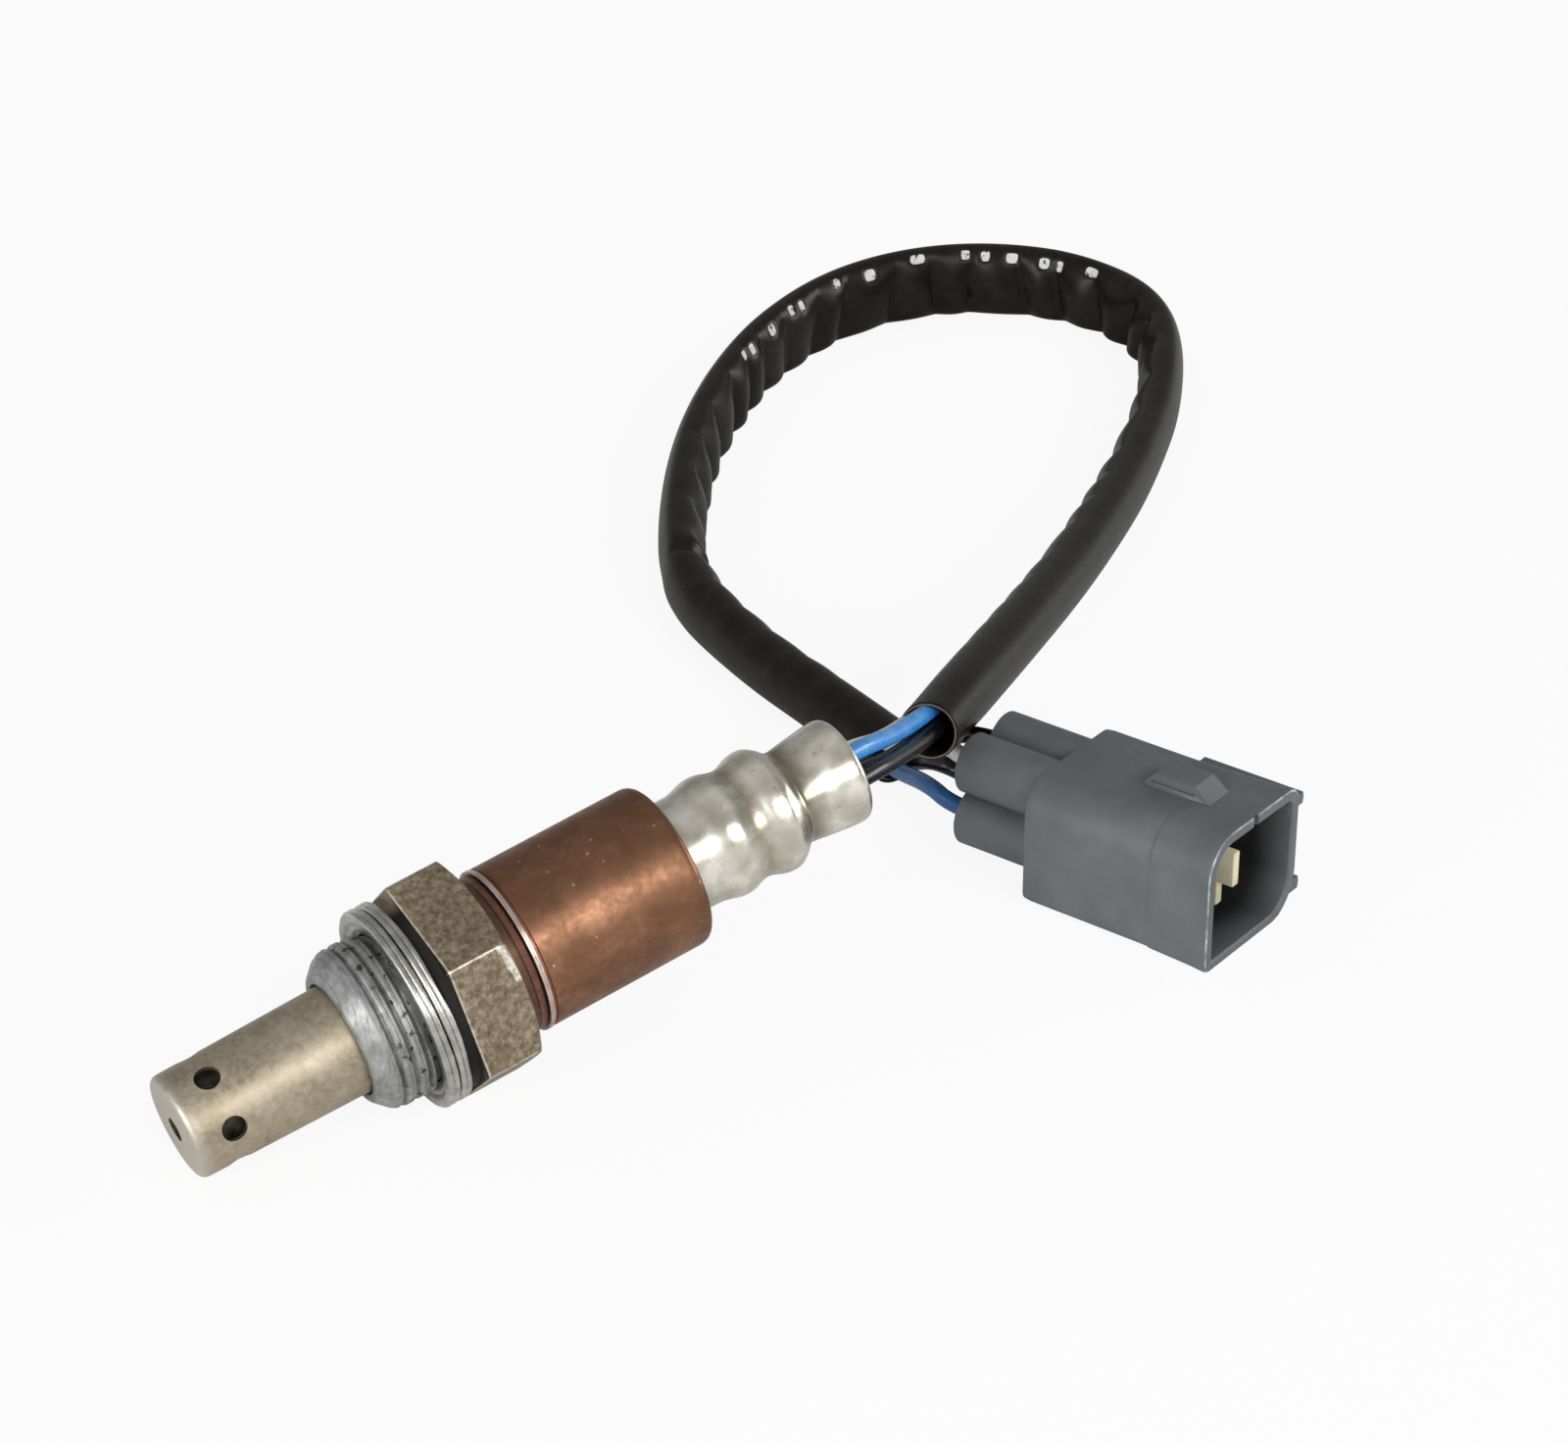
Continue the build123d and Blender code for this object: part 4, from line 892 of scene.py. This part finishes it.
def lead(name, material):
    """One insulated lead, from its grommet hole through the sleeve into the connector."""
    angle, bundle = LEAD_ANGLES[name], BUNDLE_ANGLES[name]
    last = len(SLEEVE_ROUTE) - 1
    route = [Vector(point) for point in SLEEVE_ROUTE]
    # just outside its mouth the bundle leans to the left
    route[0] = route[0] + (route[0] - route[1]).normalized() * 3.0 + Vector((-0.77, 0.92, 0.0))
    route[-1] = route[-1] + (route[-1] - route[-2]).normalized()
    points = [on_sensor(66.4, LEAD_CIRCLE, angle), on_sensor(80.5, LEAD_CIRCLE, angle)]
    for index, point in enumerate(route):
        before, after = route[max(index - 1, 0)], route[min(index + 1, last)]
        ahead = Vector((after.x - before.x, after.y - before.y, 0)).normalized()
        right = Vector((ahead.y, -ahead.x, 0))
        # the bundle twists slowly on its way to the connector
        swing = math.radians(bundle + (angle + 115.0 - bundle) * index / last)
        share = STACKED[index]
        across = BUNDLE_RADIUS * math.sin(swing) * (1 - share)
        over = BUNDLE_RADIUS * math.cos(swing) * (1 - share) + STACK[name] * share
        points.append(point + right * across + Vector((0, 0, over)))
    width, height = CAVITIES[name]
    points += [Vector(LEAD_TURNS[name]), on_plug(-13.2, width, height), on_plug(-3.35, width, height)]
    line, places = even_steps(smooth_line("lead_line", points, 10), 0.8)
    # the insulation is 2 mm thick, so its radius is 1
    rings = [[point + left * math.sin(math.radians(turn)) + up * math.cos(math.radians(turn))
              for turn in range(0, 360, 18)] for point, (_, left, up) in zip(line, level_frames(line))]
    return swept("insulated_lead_" + name, rings, [material]), line, places[-1]


# The connector

PLUG_SIZE = (17.3, 15.1)
PLUG_DEPTH = 24.5
# The four cavities stand round the socket's middle, across it and up
SOCKET_MIDDLE = (8.65, 8.3)
CAVITY_SPOTS = [(SOCKET_MIDDLE[0] + x * 3.1, SOCKET_MIDDLE[1] + y * 3.3) for x in (-1, 1) for y in (-1, 1)]


def section(inset, grow, arch):
    """Points round the housing's section, moved in by inset, bottom near corner first."""
    width, height = PLUG_SIZE
    low, high, left, right = inset - grow, height - inset + grow, inset - grow, width - inset + grow
    # each corner's place, the way it faces, its radius and the angle at which its round starts
    corners = [(left, low, -1, -1, max(1.3 - inset, 0.4), 180), (right, low, 1, -1, 5.2 - inset, 270),
               (right, high, 1, 1, 2.0 - inset * 0.8, 0), (left, high, -1, 1, 4.2 - inset, 90)]
    steps = 7
    result = []
    for corner_x, corner_y, side_x, side_y, radius, first in corners:
        for step in range(steps + 1):
            turn = math.radians(first + 90 * step / steps)
            x = corner_x - side_x * radius + radius * math.cos(turn)
            y = corner_y - side_y * radius + radius * math.sin(turn)
            share = (x - left) / (right - left)
            bow = arch * math.sin(math.pi * min(max(share, 0), 1))
            result.append((x, y + (bow if y > height / 2 else -bow * 0.25)))
    return result


def lengthwise(width, height, length):
    return on_plug(length, width, height)


def widthwise(length, height, width):
    return on_plug(length, width, height)


def prism(name, outline, low, high, way):
    """A closed prism: its outline drawn from low to high, lengthwise or widthwise."""
    count = len(outline)
    points = [way(a, b, low) for a, b in outline] + [way(a, b, high) for a, b in outline]
    faces = [tuple(range(count)), tuple(range(count, 2 * count))] + ring_faces(0, 1, count)
    return mesh_piece(name, points, faces)


def rectangle(left, low, right, high):
    return [(left, low), (right, low), (right, high), (left, high)]


def circle(middle, radius):
    turns = [2 * math.pi * step / 48 for step in range(48)]
    return [(middle[0] + radius * math.cos(turn), middle[1] + radius * math.sin(turn)) for turn in turns]


def keyed_housing(materials):
    """Connector housing: shrouded socket, four joined barrels, lock ramp, ribs and rim notch."""
    wall = 1.3
    # each station: how far from the rear, how far in, how much wider, and how bowed
    stations = [(0.0, 1.0, -0.5, 0.0), (0.0, 0.5, -0.3, 0.0), (0.35, 0.0, -0.08, 0.0), (1.2, 0.0, 0.0, 0.0),
                (8.0, 0.0, 0.0, 0.02), (16.3, 0.0, 0.02, 0.05), (16.62, 0.0, 0.03, 0.05),
                (16.75, 0.0, 0.09, 0.06), (17.1, 0.0, 0.11, 0.08), (21.0, 0.0, 0.21, 0.2),
                (24.0, 0.0, 0.36, 0.32), (24.4, 0.0, 0.34, 0.34), (PLUG_DEPTH, 0.16, 0.3, 0.34),
                (PLUG_DEPTH, 1.1, 0.3, 0.34), (24.3, wall, 0.3, 0.34), (20.0, wall, 0.16, 0.2),
                (12.0, wall, 0.0, 0.0), (9.05, wall, 0.0, 0.0)]
    rings = []
    for length, inset, grow, arch in stations:
        ring = [on_plug(length, x, y) for x, y in section(inset, grow, arch)]
        rings.append([Vector((point.x, point.y, max(point.z, 0.02))) for point in ring])
    housing = swept("keyed_housing", rings, sharp=30)
    core = prism("core", rectangle(5.0, 4.0, 12.3, 12.6), -9.8, 1.0, lengthwise)
    for spot in CAVITY_SPOTS:
        core = combine(core, prism("barrel", circle(spot, 3.5), -10.5, 1.2, lengthwise), "UNION")
    housing = combine(housing, core, "UNION")
    lock = prism("lock", [(10.2, 14.6), (10.2, 15.0), (11.9, 16.9), (17.04, 16.9), (19.5, 15.0),
                          (19.7, 14.6)], 7.9, 11.7, widthwise)
    housing = combine(housing, lock, "UNION")
    # a shallow line runs along the lock's near side, just over the top face
    line = prism("lock_line", [(11.4, 15.75), (16.9, 15.75), (17.2, 16.05), (11.7, 16.05)],
                 7.5, 8.1, widthwise)
    housing = combine(housing, line, "DIFFERENCE")
    for low, high, start in ((1.6, 3.1, 13.2), (12.4, 13.8, 11.4)):
        rib = prism("rib", [(16.0, low), (19.0, low), (19.15, (low + high) / 2), (19.0, high), (16.0, high)],
                    start, 24.1, lengthwise)
        housing = combine(housing, rib, "UNION")
    for x, y in CAVITY_SPOTS:
        cavity = prism("cavity", circle((x, y), 2.35), -11.0, -5.5, lengthwise)
        housing = combine(housing, cavity, "DIFFERENCE")
        cavity = prism("cavity", rectangle(x - 1.1, y - 1.1, x + 1.1, y + 1.1), -6.0, 10.0, lengthwise)
        housing = combine(housing, cavity, "DIFFERENCE")
    notch = prism("notch", rectangle(8.2, 12.6, 9.2, 17.0), 24.0, 25.5, lengthwise)
    housing = combine(housing, notch, "DIFFERENCE")
    housing.data.materials.clear()
    clad(housing, materials["housing"], materials["edge"])
    # every bevelled edge takes the paler edge nylon, partly rubbed and partly a painted highlight
    housing = bevelled(housing, 0.16, 33, 1)
    tidy(housing, 28)
    housing.modifiers.new("faces", "WEIGHTED_NORMAL").keep_sharp = True
    housing = settled(housing)
    # painted shade: it darkens down into the socket, whose two large corners are round
    shade = []
    for vertex in housing.data.vertices:
        place = vertex.co / MM - PLUG
        length, width = place.dot(PLUG_LENGTH), place.dot(PLUG_WIDTH)
        inside = 1.0 < width < 16.3 and 1.0 < place.z < 14.3 and length > 8.9
        inside = inside and math.hypot(max(4.2 - width, 0.0), max(place.z - 10.9, 0.0)) < 3.5
        inside = inside and math.hypot(max(width - 12.1, 0.0), max(5.2 - place.z, 0.0)) < 4.5
        shade.append(min(max((24.2 - length) / 2.6, 0.0), 1.0) if inside else 0.0)
    marked(housing, "inside", shade)
    # the mouth's outer edge and the rear near corner are rubbed, and take the same paler edge, partly a
    # painted highlight
    for face in housing.data.polygons:
        place = face.center / MM - PLUG
        length, width = place.dot(PLUG_LENGTH), place.dot(PLUG_WIDTH)
        if 24.41 < length < 24.49 or (0.05 < length < 0.34 and -0.3 < width < 2.4 and place.z > 11.0):
            face.material_index = 1
    return housing


def centre_blade(materials):
    """Cream terminal retainer: slotted plate with its stepped centre blade."""
    plate = prism("terminal_insert", rectangle(2.9, 3.1, 14.4, 13.5), 9.05, 12.05, lengthwise)
    for x, y in CAVITY_SPOTS:
        slot = prism("slot", rectangle(x - 1.4, y - 0.7, x + 1.4, y + 0.7), 8.0, 13.0, lengthwise)
        plate = combine(plate, slot, "DIFFERENCE")
    blade = prism("blade", [(11.0, 3.1), (20.35, 3.1), (20.35, 6.1), (22.35, 6.1), (22.35, 10.3),
                            (11.0, 10.3)], 8.05, 9.25, widthwise)
    plate = bevelled(combine(plate, blade, "UNION"), 0.15, 50)
    tidy(plate, 50)
    return clad(plate, materials["retainer"])


def ribbed_seal(name, spot, material):
    """Wire seal with its three squeezed ribs."""
    rear, front, bore = -11.1, -6.5, 1.05
    outline = [(rear, bore), (rear, 2.05), (-10.9, 2.25), (-10.4, 2.3)]
    for step in range(1, 25):
        outline.append((-10.4 + 3.9 * step / 24, 2.12 + 0.18 * math.cos(2 * math.pi * step / 8)))
    outline += [(front, bore), (rear, bore)]
    rings = [[on_plug(length, spot[0] + radius * math.cos(math.radians(turn)),
                      spot[1] + radius * math.sin(math.radians(turn))) for turn in range(0, 360, 12)]
             for length, radius in outline]
    seal = swept("wire_seal_" + name, rings, [material], None, 50, False)
    tidy(seal, 50, 1e-7)
    return seal


# The whole object, piece by piece

MATERIALS = {
    "cup": heated_stainless(),
    "soot": sooty_stainless(),
    "thread": plated_thread(),
    "collar_painted_shade": collar_with_painted_shade(),
    "hexagon": stained_hexagon(),
    "neck": banded_neck(),
    "gasket": bright_sheet("Stainless sheet, rolled bright", "#a3a39f", "#d0cfca", 0.24),
    "cover": copper_tint(),
    "bead": bright_sheet("Stainless bead rubbed bright, rear rim painted highlight", "#c5aea2", "#e8d8ce", 0.26),
    "tail": polished_tube(),
    "zirconia": plain_matt("Zirconia, sintered", "#d8d2c4", "#eae5da", 0.5),
    "ceramic": plain_matt("Alumina, fired white", "#e0ddd6", "#f0eee8", 0.45),
    "talc": plain_matt("Talc, pressed powder", "#bdb8aa", "#d2cdc0", 0.8, 0.4),
    "spring": bright_sheet("Spring steel strip", "#908d86", "#b5b1a8", 0.3),
    "contact": bright_sheet("Nickel alloy contact strip", "#a39e92", "#c3beb1", 0.28),
    "grommet": plain_matt("Fluoro rubber, black", "#161514", "#24211f", 0.62),
    # each lead's last colour is its painted shade low down near the connector
    "blue": extruded_insulation("PVC insulation, blue", "#2f86d4", "#4f9fe4", "#274a78"),
    "white": extruded_insulation("PVC insulation, white", "#d9d9d6", "#efefec", "#c9c8c4"),
    "black": extruded_insulation("PVC insulation, black", "#0c0c0d", "#161617", "#101010"),
    "sleeve": vinyl_sleeve(),
    "rim": plain_matt("Cut vinyl edge, dusty", "#5f5347", "#8c7b69", 0.6, 0.5),
    "housing": slate_nylon(),
    "edge": rubbed_and_highlit_nylon(),
    "retainer": plain_matt("PBT, cream, moulded", "#d8cda9", "#e9e0c2", 0.42, 1.5),
    "seal": plain_matt("Silicone, red-brown", "#6b3022", "#85402e", 0.55),
    "pin": bright_sheet("Tinned brass pin", "#b3ac98", "#cfc9b6", 0.25),
}

sleeve, sleeve_line = wrinkled_sleeve([MATERIALS["sleeve"], MATERIALS["rim"]])
leads = {name: lead(name, MATERIALS[name.split("_")[0]]) for name in LEAD_ANGLES}
housing = keyed_housing(MATERIALS)
insert = centre_blade(MATERIALS)
seals = {name: ribbed_seal(name, CAVITIES[name], MATERIALS["seal"]) for name in CAVITIES}

made = [
    (perforated_cup(MATERIALS), "outer_protector", "protector_steel"),
    (threaded_shell(MATERIALS), "metal_shell", "shell_steel"),
    (folded_gasket(MATERIALS), "crush_gasket", "gasket_steel"),
    (cover_barrel(MATERIALS), "outer_cover", "cover_steel"),
    (crimped_tail(MATERIALS), "tail_tube", "tail_steel"),
    (sleeve, "sleeve", "sleeve_vinyl"),
    (housing, "connector_housing", "housing_plastic"),
    (insert, "terminal_retainer", "retainer_plastic"),
]
made += [(seals[name], "seal_" + name, "seal_rubber") for name in seals]
made += [(leads[name][0], "lead_" + name, "lead_" + name.split("_")[0]) for name in leads]
for piece, node_name, slot_name in made:
    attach(piece, "root")
    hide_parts(node_name)

# The pieces that stay as the solids have them, each with its material
kept = {"inner_protector": "soot", "seat_ring": "gasket", "sensing_element": "zirconia",
        "heater_rod": "ceramic", "talc_seal": "talc", "insulating_bush": "ceramic", "crimp_ring": "gasket",
        "rear_insulator": "ceramic",
        "spring_ring": "spring", "contact_signal_a": "contact", "contact_signal_b": "contact",
        "contact_heater_a": "contact", "contact_heater_b": "contact", "grommet": "grommet",
        "pin_blue": "pin", "pin_white": "pin", "pin_black_a": "pin", "pin_black_b": "pin"}
for node_name, key in kept.items():
    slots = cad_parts[node_name].data.materials
    if slots:
        for index in range(len(slots)):
            slots[index] = MATERIALS[key]
    else:
        slots.append(MATERIALS[key])

for name, (piece, line, length) in leads.items():
    ends = [seals[name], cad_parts["pin_" + name]]
    if name == "blue":
        ends += [housing, insert]


# Stage, light and camera

# White paper: straight to the camera it is lifted towards white, and the shadow on it stays
def pale_floor():
    material, tree, _ = new_material("Paper floor, white", Roughness=0.9, Base_Color=(0.86, 0.86, 0.86, 1.0))
    seen = add(tree, "ShaderNodeLightPath")["Is Camera Ray"]
    share = add(tree, "ShaderNodeMath", (seen, 0.90), operation="MULTIPLY")["Value"]
    white = add(tree, "ShaderNodeEmission", {"Color": (1, 1, 1, 1), "Strength": 1.0})["Emission"]
    paper = tree.nodes["Principled BSDF"].outputs["BSDF"]
    mixed = add(tree, "ShaderNodeMixShader", (share, paper, white))["Shader"]
    tree.links.new(mixed, tree.nodes["Material Output"].inputs["Surface"])
    return material


FLOOR_HALF, FLOOR_TOP = 2500, -0.02
floor_corners = rectangle(-FLOOR_HALF, -FLOOR_HALF, FLOOR_HALF, FLOOR_HALF)
floor = mesh_piece("paper_floor", [(x, y, FLOOR_TOP) for x, y in floor_corners], [(0, 1, 2, 3)])
clad(floor, pale_floor())

world = bpy.data.worlds.new("Light tent")
bpy.context.scene.world = world
world.use_nodes = True
tent = world.node_tree
direction = add(tent, "ShaderNodeTexCoord")["Generated"]
parts = add(tent, "ShaderNodeSeparateXYZ", [direction])
# the tent is bright near the table, dimmer overhead, behind the object and to its right
height = add(tent, "ShaderNodeMapRange", (parts["Z"], -0.1, 1.0, 0.0, 1.0))["Result"]
tent_shades = ((0.0, "#e6e6e6"), (0.30, "#d0d0d0"), (0.56, "#b4b4b4"), (0.78, "#b0b0b0"), (1.0, "#b4b4b4"))
glow = add(tent, "ShaderNodeValToRGB", [height], tent_shades)["Color"]
glow = stained(tent, glow, "#3c3c3c", parts["Y"], 0.35, 0.95, 0.0, 0.55)
glow = stained(tent, glow, "#3c3c3c", parts["X"], 0.35, 0.85, 0.0, 0.5)
seen = add(tent, "ShaderNodeLightPath")["Is Camera Ray"]
shown = add(tent, "ShaderNodeMix", {0: seen, 6: glow, 7: (1, 1, 1, 1)}, data_type="RGBA")[2]
tent.links.new(shown, tent.nodes["Background"].inputs["Color"])


def softbox(name, place, target, size, power):
    lamp = bpy.data.lights.new(name, "AREA")
    lamp.shape = "RECTANGLE"
    lamp.size, lamp.size_y = size
    lamp.energy = power
    holder = bpy.data.objects.new(name, lamp)
    holder.location = place
    holder.rotation_euler = (Vector(target) - Vector(place)).to_track_quat("-Z", "Y").to_euler()
    bpy.context.scene.collection.objects.link(holder)


CENTRE = (0.05, 0.04, 0.01)
softbox("key", (0.15, -0.95, 0.60), CENTRE, (0.8, 0.4), 5.0)
softbox("fill", (-1.0, -0.45, 0.30), CENTRE, (0.8, 0.4), 8.0)
softbox("side", (1.0, -0.15, 0.22), CENTRE, (0.6, 0.3), 3.2)

CAMERA_PLACE = Vector((-174.4, -343.9, 253.9)) * MM
CAMERA_TARGET = Vector((0.061, 0.049, 0.0))
camera_data = bpy.data.cameras.new("camera")
camera_data.lens = 101.25
camera = bpy.data.objects.new("camera", camera_data)
camera.location = CAMERA_PLACE
camera.rotation_euler = (CAMERA_TARGET - CAMERA_PLACE).to_track_quat("-Z", "Y").to_euler()
bpy.context.scene.collection.objects.link(camera)
bpy.context.scene.camera = camera
bpy.context.scene.view_settings.view_transform = "Standard"

bpy.context.view_layer.update()
